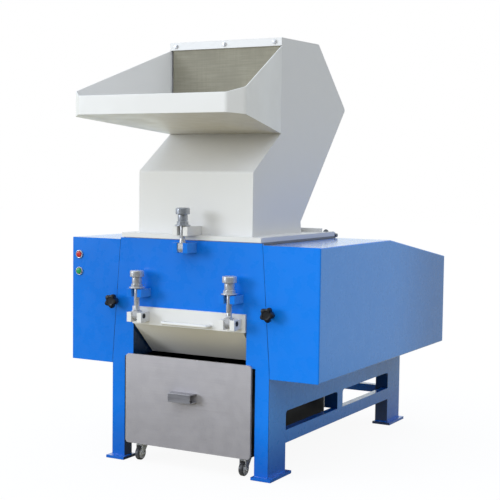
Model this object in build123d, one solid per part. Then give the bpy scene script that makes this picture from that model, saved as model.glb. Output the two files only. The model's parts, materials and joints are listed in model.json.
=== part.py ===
from build123d import *
import math
import os

os.makedirs("parts", exist_ok=True)

# Driving dimensions in millimetres. X runs to the right, Y to the back and Z up.
# Depths count backwards from the machine's front face, and the floor is z = 0.

# Housings on both sides of the chamber, folded from sheet.
HOUSING_HALF_WIDTH = 500.0
HOUSING_TOP_Z = 790.0
HOUSING_BOTTOM_Z = 345.0
HOUSING_RIDGE_DEPTH = 600.0
HOUSING_DEPTH = 1190.0
HOUSING_REAR_TOP_Z = 700.0
HOUSING_BEND = 5.0
SHEET = 3.0
SEAM = 0.5

# Front plate, wider at its foot than at its top.
FRONT_TOP_HALF = 286.0
FRONT_TOP_Z = 796.0
PLATE = 8.0
FOLD = 6.0
LEG_OUTER_X = 318.0
LEG_INNER_X = 265.0
LEG_RETURN = 46.0
COLUMN_INNER_X = 229.0
SHOULDER_Z = 375.0
OPENING_TOP_Z = 540.0
CHEEK_DEPTH = 150.0

# Side frames with their legs, rails and windows.
FRONT_LEG_DEPTH = 126.0
REAR_LEG_FRONT = 1046.0
REAR_LEG_BACK = 1176.0
RAIL_BOTTOM_Z = 106.0
RAIL_TOP_Z = 151.0
RAIL_FLANGE = 28.0
WINDOW_TOP_Z = 217.0
WINDOW_RADIUS = 13.0
MULLION_FRONT = 550.0
MULLION_BACK = 597.0
MULLION_INNER_X = 263.0
FOOT_THICK = 10.0
FOOT_OUT = 17.0
FOOT_IN = 6.0
FOOT_END = 14.0
TIE_BOTTOM_Z = 120.0
TIE_FRONT = 1090.0
TIE_THICK = 32.0

# Chamber between the side frames, with the plates that carry the hopper.
CHAMBER_BOTTOM_Z = 560.0
CHAMBER_FLOOR = 40.0
THROAT_HALF = 224.0
THROAT_FRONT = 38.0
THROAT_BACK = 350.0
FLANGE_HALF = 280.0
FLANGE_INSET = 20.0
STEEL_TOP_Z = 798.0
FLANGE_TOP_Z = 814.0
STIFFENER_INSET = 75.0
STIFFENER_HALF = 258.0
STIFFENER_TOP_Z = 828.0
STIFFENER_THICK = 13.0

# Hinge behind the hopper's flange.
HINGE_BACK = 14.0
HINGE_Z = 800.0
HINGE_RADIUS = 7.0
HINGE_OVERHANG = 4.0
LUG_REACH = 9.0
LUG_THICK = 8.0
LUG_INSET = 14.0

# Hopper, a folded shell of one width.
HOPPER_HALF = 230.0
HOPPER_SHEET = 4.0
HOPPER_FRONT = 32.0
HOPPER_REAR = 356.0
NECK_LOW_Z = 1032.0
NECK_HIGH_Z = 1168.0
MOUTH_DEPTH = 229.0
HOPPER_TOP_Z = 1500.0
TOP_REAR = 521.0
TOP_RISE = 6.0
REARMOST = 766.0
REARMOST_Z = 1278.0
HOPPER_BEND = 12.0
GUSSET_FOOT = 45.0
GUSSET_HEIGHT = 41.0
GUSSET_THICK = 6.0

# Feed tray.
TRAY_HALF = 331.0
TRAY_CORNER = 46.0
TRAY_FRONT = -250.0
TRAY_LOW_Z = 1216.0
TRAY_LIP_Z = 1278.0
TRAY_CORNER_Z = 1297.0
TRAY_SHEET = 3.0
TRAY_BEND = 18.0

# Curtain and the strip that clamps it over the mouth.
STRIP_HEIGHT = 28.0
STRIP_THICK = 4.0
STRIP_BOLT_INSET = 27.0
STRIP_BOLT_RADIUS = 8.0
STRIP_BOLT_HEIGHT = 6.0
CURTAIN_THICK = 4.0
CURTAIN_SIDE_GAP = 6.0
CURTAIN_BOTTOM_Z = 1190.0

# Swing bolts with their hand nuts, ears and seats.
CLAMP_X = 186.0
CLAMP_AXIS = -43.0
PIVOT_Z = 528.0
SEAT_Z = 622.0
SEAT_LOW_Z = 594.0
TOP_PIVOT_Z = 770.0
TOP_SEAT_Z = 845.0
SEAT_HALF = 30.0
SEAT_PLATE = 5.0
SEAT_REACH = 60.0
BOLT_RADIUS = 9.0
SLOT_CLEARANCE = 3.0
EYE_RADIUS = 14.0
EYE_HALF = 11.5
EYE_SHOULDER = 18.0
EAR_GAP = 0.5
EAR_THICK = 18.0
EAR_REACH = 60.0
EAR_BELOW = 22.0
EAR_ABOVE = 12.0
TOP_EAR_BELOW = 15.0
TOP_EAR_ABOVE = 20.0
PIN_RADIUS = 6.0
PIN_CLEARANCE = 0.05
NUT_GAP = 2.4
NUT_WASHER_RADIUS = 27.0
NUT_WASHER = 4.0
NUT_FOOT_FLATS = 36.0
NUT_FOOT_HEIGHT = 16.0
NUT_NECK_RADIUS = 15.5
NUT_NECK_HEIGHT = 20.0
NUT_CAP_RADIUS = 25.0
NUT_CAP_HEIGHT = 22.0
NUT_CAP_BEVEL = 3.0
THREAD_CLEARANCE = 0.1

# Sides of the small round pieces, which repeat.
ROUND_SIDES = 32

# Screen cradle.
CRADLE_HALF = 228.0
APRON_HALF = 221.0
CRADLE_TOP_Z = 556.0
CRADLE_FOLD_Z = 494.0
APRON_BOTTOM_Z = 381.0
APRON_DEPTH = 110.0
CRADLE_PLATE = 8.0
HANDLE_HALF = 97.0
HANDLE_Z = 507.0
HANDLE_RADIUS = 6.0
HANDLE_STAND = 22.0

# Bin.
BIN_HALF = 254.0
BIN_FACE = -10.3
BIN_BOTTOM_Z = 66.0
BIN_TOP_Z = 385.0
BIN_CORNER = 12.0
BIN_PLATE = 10.0
TUB_HALF = 240.0
TUB_BACK = 622.0
TUB_SHEET = 3.0
TUB_TOP_Z = 368.0
TUB_BEND = 30.0
GRIP_LEFT = -54.0
GRIP_RIGHT = 36.0
GRIP_FLARE = 6.0
GRIP_LOW_Z = 238.0
GRIP_HIGH_Z = 269.0
GRIP_REACH = 35.0
GRIP_SHEET = 3.0

# Casters under the bin, the rear pair closer together, with their wheels trailing to the front.
CASTER_FRONT_X = 212.0
CASTER_REAR_X = 66.0
CASTER_FRONT = 42.0
CASTER_REAR = 540.0
CASTER_TRAIL = 18.0
CASTER_GAP = 0.3
WHEEL_RADIUS = 25.0
WHEEL_HALF = 9.0
WHEEL_SIDE_GAP = 1.5
AXLE_RADIUS = 4.0
AXLE_CLEARANCE = 0.05
AXLE_HEAD_RADIUS = 7.0
AXLE_HEAD = 3.5
FORK_SHEET = 2.5
FORK_TOP_Z = 57.0
FORK_BACK = 14.0
FORK_EYE = 8.0
SWIVEL_RADIUS = 14.0
TOP_PLATE_HALF = 23.0
TOP_PLATE = 3.0

# Controls on the housings' fronts.
KNOB_LEFT_X = -304.0
KNOB_LEFT_Z = 570.0
KNOB_RIGHT_X = 323.0
KNOB_RIGHT_Z = 564.0
KNOB_LOBES = 5
KNOB_LOBE_RADIUS = 9.5
KNOB_LOBE_CIRCLE = 17.0
KNOB_WEB_RADIUS = 20.0
KNOB_TURN = 97.0
KNOB_FRONT = -40.0
KNOB_THICK = 18.0
KNOB_NECK_RADIUS = 10.0
KNOB_GAP = 0.3
BUTTON_INSET = 33.0
RED_Z = 728.0
GREEN_Z = 667.0
BEZEL_RADIUS = 15.0
BEZEL_HEIGHT = 6.0
BUTTON_RADIUS = 10.5
BUTTON_CLEARANCE = 0.5
BUTTON_PROUD = 2.0
BUTTON_TRAVEL = 3.0

# How far a cutter runs past the face that it cuts.
PAST = 1.0

# Places that follow from the dimensions above.
FRONT_Y = -(TRAY_FRONT + HOUSING_DEPTH) / 2
TOP_REAR_Z = HOPPER_TOP_Z + TOP_RISE
FLANGE_DEPTH = HOUSING_RIDGE_DEPTH - FLANGE_INSET
HINGE_DEPTH = FLANGE_DEPTH + HINGE_BACK
HOUSING_INNER_X = LEG_OUTER_X + SEAM
CORNER_DEPTH = TRAY_FRONT + TRAY_CORNER
BUTTON_X = BUTTON_INSET - HOUSING_HALF_WIDTH


def box(x0, x1, y0, y1, z0, z1):
    """A box between two corners, with y counted as a depth."""
    middle = ((x0 + x1) / 2, FRONT_Y + (y0 + y1) / 2, (z0 + z1) / 2)
    return Pos(*middle) * Box(x1 - x0, y1 - y0, z1 - z0)


def front_prism(points, y0, y1):
    """A prism of an X, Z outline that runs back from depth y0 to depth y1."""
    face = make_face(Polyline(*[(x, FRONT_Y + y0, z) for x, z in points], close=True))
    return extrude(face, y1 - y0, dir=(0, 1, 0))


def side_face(points, x0):
    """A face of a Y, Z outline in the plane x0."""
    return make_face(Polyline(*[(x0, FRONT_Y + y, z) for y, z in points], close=True))


def side_prism(points, x0, x1):
    """A prism of a Y, Z outline that runs across from x0 to x1."""
    return extrude(side_face(points, x0), x1 - x0, dir=(1, 0, 0))


def floor_face(points, z0):
    """A face of an X, Y outline at the height z0."""
    return make_face(Polyline(*[(x, FRONT_Y + y, z0) for x, y in points], close=True))


def floor_prism(points, z0, z1):
    """A prism of an X, Y outline that runs up from z0 to z1."""
    return extrude(floor_face(points, z0), z1 - z0, dir=(0, 0, 1))


def rod_x(x0, x1, y, z, radius):
    """A round rod along X."""
    return Pos((x0 + x1) / 2, FRONT_Y + y, z) * Rot(0, 90, 0) * Cylinder(radius, x1 - x0)


def rod_z(x, y, z0, z1, radius):
    """A round rod along Z."""
    return Pos(x, FRONT_Y + y, (z0 + z1) / 2) * Cylinder(radius, z1 - z0)


def small_round(radius, height):
    """A small round piece from z = 0 up."""
    return extrude(RegularPolygon(radius, ROUND_SIDES), height)


def front_round(x, y0, y1, z, radius):
    """A small round piece that runs back from depth y0 to depth y1."""
    return Pos(x, FRONT_Y + y1, z) * Rot(90, 0, 0) * small_round(radius, y1 - y0)


def mirrored(shape):
    """The same shape on the machine's other side."""
    return mirror(shape, about=Plane.YZ)


def front_plate():
    """The front plate: an inverted U on two legs, folded back along the legs and the opening."""
    half = [
        (FRONT_TOP_HALF, FRONT_TOP_Z), (LEG_OUTER_X, HOUSING_BOTTOM_Z), (LEG_OUTER_X, FOOT_THICK),
        (LEG_INNER_X, FOOT_THICK), (LEG_INNER_X, SHOULDER_Z), (COLUMN_INNER_X, SHOULDER_Z),
        (COLUMN_INNER_X, OPENING_TOP_Z),
    ]
    other_half = [(-x, z) for x, z in reversed(half)]
    plate = front_prism(half + other_half, 0, PLATE)
    leg_fold = box(LEG_INNER_X, LEG_INNER_X + FOLD, PLATE, LEG_RETURN, FOOT_THICK, SHOULDER_Z)
    cheek = box(COLUMN_INNER_X, COLUMN_INNER_X + FOLD, PLATE, CHEEK_DEPTH, SHOULDER_Z, OPENING_TOP_Z)
    for fold in (leg_fold, cheek):
        plate += fold + mirrored(fold)
    return plate


def housing_outline(inset):
    """The housing's Y, Z outline, moved inwards by the sheet's thickness."""
    return [
        (inset, HOUSING_BOTTOM_Z + inset), (inset, HOUSING_TOP_Z - inset),
        (HOUSING_RIDGE_DEPTH, HOUSING_TOP_Z - inset),
        (HOUSING_DEPTH - inset, HOUSING_REAR_TOP_Z - inset),
        (HOUSING_DEPTH - inset, HOUSING_BOTTOM_Z + inset),
    ]


def housing():
    """The right housing: a hollow sheet box, open towards the chamber, with a sloping rear top."""
    shell = side_prism(housing_outline(0), HOUSING_INNER_X, HOUSING_HALF_WIDTH)
    outer_side = shell.faces().sort_by(Axis.X)[-1]
    shell = fillet(outer_side.edges(), HOUSING_BEND)
    shell -= side_prism(housing_outline(SHEET), HOUSING_INNER_X - PAST, HOUSING_HALF_WIDTH - SHEET)
    lean = (LEG_OUTER_X - FRONT_TOP_HALF) / (FRONT_TOP_Z - HOUSING_BOTTOM_Z)
    split_top = FRONT_TOP_HALF + lean * (FRONT_TOP_Z - HOUSING_TOP_Z + SHEET) + SEAM
    front_flap = [
        (split_top, HOUSING_TOP_Z), (HOUSING_INNER_X, HOUSING_TOP_Z), (HOUSING_INNER_X, HOUSING_BOTTOM_Z),
    ]
    shell += front_prism(front_flap, 0, SHEET)
    shell += box(split_top, HOUSING_INNER_X, 0, FLANGE_DEPTH, HOUSING_TOP_Z - SHEET, HOUSING_TOP_Z)
    return shell


def chamber():
    """The chamber: a box with a throat under the hopper."""
    top = HOUSING_TOP_Z - SHEET
    body = box(-LEG_OUTER_X, LEG_OUTER_X, PLATE, HOUSING_RIDGE_DEPTH, CHAMBER_BOTTOM_Z, top)
    return body - box(-THROAT_HALF, THROAT_HALF, THROAT_FRONT, THROAT_BACK,
                      CHAMBER_BOTTOM_Z + CHAMBER_FLOOR, top + PAST)


def hinge_lug(x0, x1, low_z, high_z, start):
    """A lug that holds the hinge pin behind a flange."""
    lug = box(x0, x1, start, HINGE_DEPTH + LUG_REACH, low_z, high_z)
    return lug - rod_x(x0 - PAST, x1 + PAST, HINGE_DEPTH, HINGE_Z, HINGE_RADIUS)


def throat_plate(front, low_z, high_z):
    """A plate on the chamber's top, cut open over the throat."""
    plate = box(-FLANGE_HALF, FLANGE_HALF, front, FLANGE_DEPTH, low_z, high_z)
    return plate - box(-THROAT_HALF, THROAT_HALF, THROAT_FRONT, THROAT_BACK, low_z - PAST, high_z + PAST)


def chamber_flange():
    """The steel plate under the hopper's flange, with the two outer hinge lugs."""
    low_z = HOUSING_TOP_Z - SHEET
    plate = throat_plate(PLATE, low_z, STEEL_TOP_Z)
    outer = FLANGE_HALF - LUG_INSET + LUG_THICK
    lug = hinge_lug(outer - LUG_THICK, outer, HOUSING_TOP_Z, HINGE_Z + LUG_REACH, FLANGE_DEPTH)
    return plate + lug + mirrored(lug)


def hopper_flange():
    """The hopper's flange with its stiffening bar and the two inner hinge lugs."""
    plate = throat_plate(0, STEEL_TOP_Z, FLANGE_TOP_Z)
    back = FLANGE_DEPTH - STIFFENER_INSET
    plate += box(-STIFFENER_HALF, STIFFENER_HALF, back, back + STIFFENER_THICK,
                 FLANGE_TOP_Z, STIFFENER_TOP_Z)
    outer = FLANGE_HALF - LUG_INSET - SEAM
    lug = hinge_lug(outer - LUG_THICK, outer, HINGE_Z - LUG_REACH, FLANGE_TOP_Z, FLANGE_DEPTH)
    return plate + lug + mirrored(lug)


def hinge_pin():
    """The pin through the four hinge lugs."""
    end = FLANGE_HALF + HINGE_OVERHANG
    return rod_x(-end, end, HINGE_DEPTH, HINGE_Z, HINGE_RADIUS)


def window(front, back):
    """A cutter for one window of the side frame, with rounded upper corners."""
    cutter = box(LEG_OUTER_X - PLATE - PAST, LEG_OUTER_X + PAST, front, back, RAIL_TOP_Z, WINDOW_TOP_Z)
    return fillet(cutter.edges().filter_by(Axis.X).sort_by(Axis.Z)[-2:], WINDOW_RADIUS)


def side_frame(leg_depth):
    """The right side frame: a cut sheet whose legs, rail and mullion are folded inwards."""
    web_x = LEG_OUTER_X - PLATE
    frame = box(web_x, LEG_OUTER_X, PLATE, REAR_LEG_BACK, FOOT_THICK, CHAMBER_BOTTOM_Z)
    frame -= window(FRONT_LEG_DEPTH, MULLION_FRONT) + window(MULLION_BACK, REAR_LEG_FRONT)
    frame -= box(web_x - PAST, LEG_OUTER_X + PAST, leg_depth, REAR_LEG_FRONT, 0, RAIL_BOTTOM_Z)
    flange_x = LEG_OUTER_X - RAIL_FLANGE
    for low_z in (RAIL_BOTTOM_Z, RAIL_TOP_Z - FOLD):
        frame += box(flange_x, web_x, FRONT_LEG_DEPTH, REAR_LEG_FRONT, low_z, low_z + FOLD)
    for depth in (MULLION_FRONT + SEAM, MULLION_BACK - FOLD - SEAM):
        frame += box(MULLION_INNER_X, web_x, depth, depth + FOLD, RAIL_TOP_Z, WINDOW_TOP_Z)
    frame += box(LEG_INNER_X + FOLD, web_x, leg_depth - FOLD, leg_depth, FOOT_THICK, RAIL_TOP_Z)
    for depth in (REAR_LEG_FRONT, REAR_LEG_BACK - FOLD):
        frame += box(LEG_INNER_X, web_x, depth, depth + FOLD, FOOT_THICK, CHAMBER_BOTTOM_Z)
    return frame


def foot(front, back):
    """A foot plate under a right leg."""
    return box(LEG_INNER_X - FOOT_IN, LEG_OUTER_X + FOOT_OUT, front - FOOT_END, back + FOOT_END,
               0, FOOT_THICK)


def foot_plates():
    """Four foot plates, the left front one as short as its leg."""
    rear = foot(REAR_LEG_FRONT, REAR_LEG_BACK)
    left = mirrored(foot(0, LEG_RETURN))
    return Compound([foot(0, FRONT_LEG_DEPTH), left, rear, mirrored(rear)])


def rear_cover():
    """The bent sheet that closes the space between the housings behind the chamber."""
    start = FLANGE_DEPTH + SEAM
    outline = [
        (start, HOUSING_TOP_Z), (HOUSING_RIDGE_DEPTH, HOUSING_TOP_Z), (HOUSING_DEPTH, HOUSING_REAR_TOP_Z),
        (HOUSING_DEPTH, HOUSING_BOTTOM_Z), (HOUSING_DEPTH - SHEET, HOUSING_BOTTOM_Z),
        (HOUSING_DEPTH - SHEET, HOUSING_REAR_TOP_Z - SHEET), (HOUSING_RIDGE_DEPTH, HOUSING_TOP_Z - SHEET),
        (start, HOUSING_TOP_Z - SHEET),
    ]
    return side_prism(outline, -LEG_OUTER_X, LEG_OUTER_X)


def rear_tie():
    """The tie between the rear legs."""
    end = LEG_OUTER_X - PLATE
    return box(-end, end, TIE_FRONT, TIE_FRONT + TIE_THICK, TIE_BOTTOM_Z, RAIL_TOP_Z)


def rear_wall_depth(z):
    """The depth of the hopper's lower rear wall at the height z."""
    lean = (REARMOST - HOPPER_REAR) / (REARMOST_Z - FLANGE_TOP_Z)
    return HOPPER_REAR + lean * (z - FLANGE_TOP_Z)


def hopper_outline(foot_z):
    """The hopper's Y, Z outline down to the height foot_z."""
    return [
        (HOPPER_FRONT, foot_z), (HOPPER_FRONT, NECK_LOW_Z), (MOUTH_DEPTH, NECK_HIGH_Z),
        (MOUTH_DEPTH, HOPPER_TOP_Z), (TOP_REAR, TOP_REAR_Z), (REARMOST, REARMOST_Z),
        (rear_wall_depth(foot_z), foot_z),
    ]


def hopper_shell():
    """The hopper: a folded shell, open at its mouth and at its foot."""
    inside = HOPPER_HALF - HOPPER_SHEET
    shell = side_prism(hopper_outline(FLANGE_TOP_Z), -HOPPER_HALF, HOPPER_HALF)
    folds = [(HOPPER_FRONT, NECK_LOW_Z), (TOP_REAR, TOP_REAR_Z), (REARMOST, REARMOST_Z)]
    bends = [shell.edges().filter_by(Axis.X).sort_by_distance((0, FRONT_Y + y, z))[0] for y, z in folds]
    shell = fillet(bends, HOPPER_BEND)
    hollow = side_face(hopper_outline(FLANGE_TOP_Z - 2 * HOPPER_SHEET), -inside)
    hollow = offset(hollow, -HOPPER_SHEET, kind=Kind.INTERSECTION)
    shell -= extrude(hollow, 2 * inside, dir=(1, 0, 0))
    return shell - box(-inside, inside, MOUTH_DEPTH - PAST, MOUTH_DEPTH + HOPPER_SHEET + PAST,
                       NECK_HIGH_Z + TRAY_SHEET, HOPPER_TOP_Z - HOPPER_SHEET)


def gussets():
    """Two gussets between the hopper's rear wall and its flange."""
    outline = [
        (HOPPER_REAR, FLANGE_TOP_Z), (HOPPER_REAR + GUSSET_FOOT, FLANGE_TOP_Z),
        (rear_wall_depth(FLANGE_TOP_Z + GUSSET_HEIGHT), FLANGE_TOP_Z + GUSSET_HEIGHT),
    ]
    right = side_prism(outline, HOPPER_HALF - GUSSET_THICK, HOPPER_HALF)
    return Compound([right, mirrored(right)])


def tray_plan(back):
    """The tray's X, Y outline with its side walls carried on to the depth back."""
    taper = (TRAY_HALF - HOPPER_HALF) / (MOUTH_DEPTH - CORNER_DEPTH)
    end = HOPPER_HALF - taper * (back - MOUTH_DEPTH)
    return [
        (-end, back), (-TRAY_HALF, CORNER_DEPTH), (TRAY_CORNER - TRAY_HALF, TRAY_FRONT),
        (TRAY_HALF - TRAY_CORNER, TRAY_FRONT), (TRAY_HALF, CORNER_DEPTH), (end, back),
    ]


def bent(prism, radius):
    """The tray's prism with its four front corners bent round."""
    corners = prism.edges().filter_by(Axis.Z).sort_by(Axis.Y)[:4]
    return fillet(corners, radius)


def feed_tray():
    """The feed tray: a floor that rises to the lip, between walls that fall towards it."""
    rim = [
        (TRAY_FRONT, TRAY_LOW_Z), (TRAY_FRONT, TRAY_LIP_Z), (CORNER_DEPTH, TRAY_CORNER_Z),
        (MOUTH_DEPTH, HOPPER_TOP_Z - STRIP_HEIGHT), (MOUTH_DEPTH, NECK_HIGH_Z),
    ]
    above_floor = [
        (TRAY_FRONT, TRAY_LOW_Z + TRAY_SHEET), (TRAY_FRONT, HOPPER_TOP_Z),
        (MOUTH_DEPTH + PAST, HOPPER_TOP_Z), (MOUTH_DEPTH + PAST, NECK_HIGH_Z + TRAY_SHEET),
    ]
    outer = bent(floor_prism(tray_plan(MOUTH_DEPTH), NECK_HIGH_Z, HOPPER_TOP_Z), TRAY_BEND)
    hollow = offset(floor_face(tray_plan(MOUTH_DEPTH + 2 * TRAY_SHEET), NECK_HIGH_Z), -TRAY_SHEET,
                    kind=Kind.INTERSECTION)
    hollow = bent(extrude(hollow, HOPPER_TOP_Z - NECK_HIGH_Z, dir=(0, 0, 1)), TRAY_BEND - TRAY_SHEET)
    walls = outer & side_prism(rim, -TRAY_HALF, TRAY_HALF)
    return walls - (hollow & side_prism(above_floor, -TRAY_HALF, TRAY_HALF))


def clamp_strip():
    """The strip that holds the curtain over the mouth."""
    return box(-HOPPER_HALF, HOPPER_HALF, MOUTH_DEPTH - STRIP_THICK, MOUTH_DEPTH,
               HOPPER_TOP_Z - STRIP_HEIGHT, HOPPER_TOP_Z)


def strip_bolts():
    """Three hexagon bolt heads on the strip."""
    z = HOPPER_TOP_Z - STRIP_HEIGHT / 2
    face = MOUTH_DEPTH - STRIP_THICK
    head = extrude(RegularPolygon(STRIP_BOLT_RADIUS, 6), STRIP_BOLT_HEIGHT)
    outermost = HOPPER_HALF - STRIP_BOLT_INSET
    return Compound([Pos(x, FRONT_Y + face, z) * Rot(90, 0, 0) * head for x in (-outermost, 0, outermost)])


def curtain():
    """The curtain, hanging in the mouth behind the strip, with a rounded upper edge."""
    half = HOPPER_HALF - HOPPER_SHEET - CURTAIN_SIDE_GAP
    radius = CURTAIN_THICK / 2
    top = HOPPER_TOP_Z - STRIP_HEIGHT - radius
    sheet = box(-half, half, MOUTH_DEPTH, MOUTH_DEPTH + CURTAIN_THICK, CURTAIN_BOTTOM_Z, top)
    return sheet + rod_x(-half, half, MOUTH_DEPTH + radius, top, radius)


def curtain_head():
    """The upper edge of the curtain, clamped behind the strip."""
    half = HOPPER_HALF - HOPPER_SHEET - CURTAIN_SIDE_GAP
    return box(-half, half, MOUTH_DEPTH, MOUTH_DEPTH + CURTAIN_THICK,
               HOPPER_TOP_Z - STRIP_HEIGHT, HOPPER_TOP_Z - HOPPER_SHEET)


def swing_bolt(x, pivot_z, top_z):
    """A swing bolt: a flat-sided eye with a round shank that rises from its shoulder."""
    shoulder = pivot_z + EYE_SHOULDER
    eye = rod_x(x - EYE_HALF, x + EYE_HALF, CLAMP_AXIS, pivot_z, EYE_RADIUS)
    eye += box(x - EYE_HALF, x + EYE_HALF, CLAMP_AXIS - EYE_RADIUS, CLAMP_AXIS + EYE_RADIUS,
               pivot_z, shoulder)
    bore = rod_x(x - EYE_HALF - PAST, x + EYE_HALF + PAST, CLAMP_AXIS, pivot_z, PIN_RADIUS + PIN_CLEARANCE)
    return eye - bore + rod_z(x, CLAMP_AXIS, shoulder, top_z, BOLT_RADIUS)


def hand_nut(x, seat_z):
    """A hand nut: a washer, a hexagon foot, a neck and a wide grip with a bevelled edge."""
    neck_low = NUT_WASHER + NUT_FOOT_HEIGHT
    cap_low = neck_low + NUT_NECK_HEIGHT
    cap = small_round(NUT_CAP_RADIUS, NUT_CAP_HEIGHT)
    cap = chamfer(cap.edges().group_by(Axis.Z)[-1], NUT_CAP_BEVEL)
    flats = RegularPolygon(NUT_FOOT_FLATS / 2, 6, major_radius=False)
    nut = small_round(NUT_WASHER_RADIUS, NUT_WASHER)
    nut += Pos(0, 0, NUT_WASHER) * extrude(flats, NUT_FOOT_HEIGHT)
    nut += Pos(0, 0, neck_low) * small_round(NUT_NECK_RADIUS, NUT_NECK_HEIGHT)
    nut += Pos(0, 0, cap_low) * cap
    nut -= extrude(Circle(BOLT_RADIUS + THREAD_CLEARANCE), cap_low)
    return Pos(x, FRONT_Y + CLAMP_AXIS, seat_z + NUT_GAP) * nut


def clevis(x, pivot_z, face, below, above):
    """Two ears on a plate, with the bolt's pin across them."""
    inner = EYE_HALF + EAR_GAP
    outer = inner + EAR_THICK
    ears = box(x - outer, x + outer, -EAR_REACH, face, pivot_z - below, pivot_z + above)
    ears -= box(x - inner, x + inner, -EAR_REACH - PAST, face + PAST,
                pivot_z - below - PAST, pivot_z + above + PAST)
    return ears + rod_x(x - outer, x + outer, CLAMP_AXIS, pivot_z, PIN_RADIUS)


def seat(x, seat_z, low_z, face):
    """A seat under a hand nut: two cheeks below a plate with a slot that is open to the front."""
    slot = BOLT_RADIUS + SLOT_CLEARANCE
    block = box(x - SEAT_HALF, x + SEAT_HALF, -SEAT_REACH, face, low_z, seat_z)
    block -= box(x - slot, x + slot, -SEAT_REACH - PAST, face + PAST, low_z - PAST, seat_z - SEAT_PLATE)
    block -= box(x - slot, x + slot, -SEAT_REACH - PAST, CLAMP_AXIS, seat_z - SEAT_PLATE, seat_z + PAST)
    return block - rod_z(x, CLAMP_AXIS, seat_z - SEAT_PLATE, seat_z + PAST, slot)


def cradle():
    """The screen cradle's front: an upright plate with a sloping apron folded from it."""
    plate = box(-CRADLE_HALF, CRADLE_HALF, -CRADLE_PLATE, 0, CRADLE_FOLD_Z, CRADLE_TOP_Z)
    lean = (CRADLE_FOLD_Z - APRON_BOTTOM_Z) / (APRON_DEPTH + CRADLE_PLATE)
    thick_z = CRADLE_PLATE * math.hypot(1, lean)
    outline = [
        (-CRADLE_PLATE, CRADLE_FOLD_Z), (0, CRADLE_FOLD_Z),
        (APRON_DEPTH, APRON_BOTTOM_Z + thick_z), (APRON_DEPTH, APRON_BOTTOM_Z),
    ]
    return plate + side_prism(outline, -APRON_HALF, APRON_HALF)


def cradle_handle():
    """The bar handle on the cradle, mitred at its two corners."""
    front = FRONT_Y - CRADLE_PLATE - HANDLE_STAND
    end = HANDLE_HALF - HANDLE_RADIUS
    back = FRONT_Y - CRADLE_PLATE
    corners = [(-end, back), (-end, front), (end, front), (end, back)]
    path = Polyline(*[(x, y, HANDLE_Z) for x, y in corners])
    section = Plane((-end, back, HANDLE_Z), z_dir=(0, -1, 0)) * Circle(HANDLE_RADIUS)
    return sweep(section, path, transition=Transition.RIGHT)


def bin_front():
    """The bin's front plate with rounded corners."""
    plate = box(-BIN_HALF, BIN_HALF, BIN_FACE, BIN_FACE + BIN_PLATE, BIN_BOTTOM_Z, BIN_TOP_Z)
    return fillet(plate.edges().filter_by(Axis.Y), BIN_CORNER)


def rounded_tub(inset, low_z, high_z):
    """The tub's block with its two rear corners rounded, moved inwards by inset."""
    front = BIN_FACE + BIN_PLATE + inset
    block = box(inset - TUB_HALF, TUB_HALF - inset, front, TUB_BACK - inset, low_z, high_z)
    return fillet(block.edges().filter_by(Axis.Z).sort_by(Axis.Y)[-2:], TUB_BEND - inset)


def bin_tub():
    """The bin's open tub, folded from sheet."""
    hollow = rounded_tub(TUB_SHEET, BIN_BOTTOM_Z + TUB_SHEET, TUB_TOP_Z + PAST)
    return rounded_tub(0, BIN_BOTTOM_Z, TUB_TOP_Z) - hollow


def bin_handle():
    """The bin's handle: a folded channel whose ends flare towards the plate."""
    front = BIN_FACE - GRIP_REACH
    plan = [
        (GRIP_LEFT, front), (GRIP_RIGHT, front), (GRIP_RIGHT + GRIP_FLARE, BIN_FACE),
        (GRIP_LEFT - GRIP_FLARE, BIN_FACE),
    ]
    channel = floor_prism(plan, GRIP_LOW_Z, GRIP_HIGH_Z)
    inside = [(front + GRIP_SHEET, GRIP_LOW_Z + GRIP_SHEET), (BIN_FACE + PAST, GRIP_LOW_Z + GRIP_SHEET),
              (BIN_FACE + PAST, GRIP_HIGH_Z - GRIP_SHEET), (front + GRIP_SHEET, GRIP_HIGH_Z - GRIP_SHEET)]
    return channel - side_prism(inside, GRIP_LEFT - GRIP_FLARE - PAST, GRIP_RIGHT + GRIP_FLARE + PAST)


def caster_fork(x, depth):
    """A caster's fork: a top plate, a swivel head, two raked arms and the axle."""
    axle_depth = depth - CASTER_TRAIL
    plate_top = BIN_BOTTOM_Z - CASTER_GAP
    fork = box(x - TOP_PLATE_HALF, x + TOP_PLATE_HALF, depth - TOP_PLATE_HALF, depth + TOP_PLATE_HALF,
               plate_top - TOP_PLATE, plate_top)
    swivel = small_round(SWIVEL_RADIUS, plate_top - TOP_PLATE - FORK_TOP_Z)
    fork += Pos(x, FRONT_Y + depth, FORK_TOP_Z) * swivel
    inner = WHEEL_HALF + WHEEL_SIDE_GAP
    outer = inner + FORK_SHEET
    arm = [
        (depth + FORK_BACK, FORK_TOP_Z), (axle_depth - FORK_EYE, FORK_TOP_Z),
        (axle_depth - FORK_EYE, WHEEL_RADIUS), (axle_depth, WHEEL_RADIUS - FORK_EYE),
        (axle_depth + FORK_EYE, WHEEL_RADIUS),
    ]
    yoke = side_prism(arm, x - outer, x + outer)
    yoke -= box(x - inner, x + inner, axle_depth - FORK_EYE - PAST, depth + FORK_BACK + PAST,
                0, FORK_TOP_Z - FORK_SHEET)
    fork += yoke
    fork += rod_x(x - inner, x + inner, axle_depth, WHEEL_RADIUS, AXLE_RADIUS)
    head = extrude(RegularPolygon(AXLE_HEAD_RADIUS, 6), AXLE_HEAD)
    for turn, side in ((90, outer), (-90, -outer)):
        fork += Pos(x + side, FRONT_Y + axle_depth, WHEEL_RADIUS) * Rot(0, turn, 0) * head
    return fork


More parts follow.
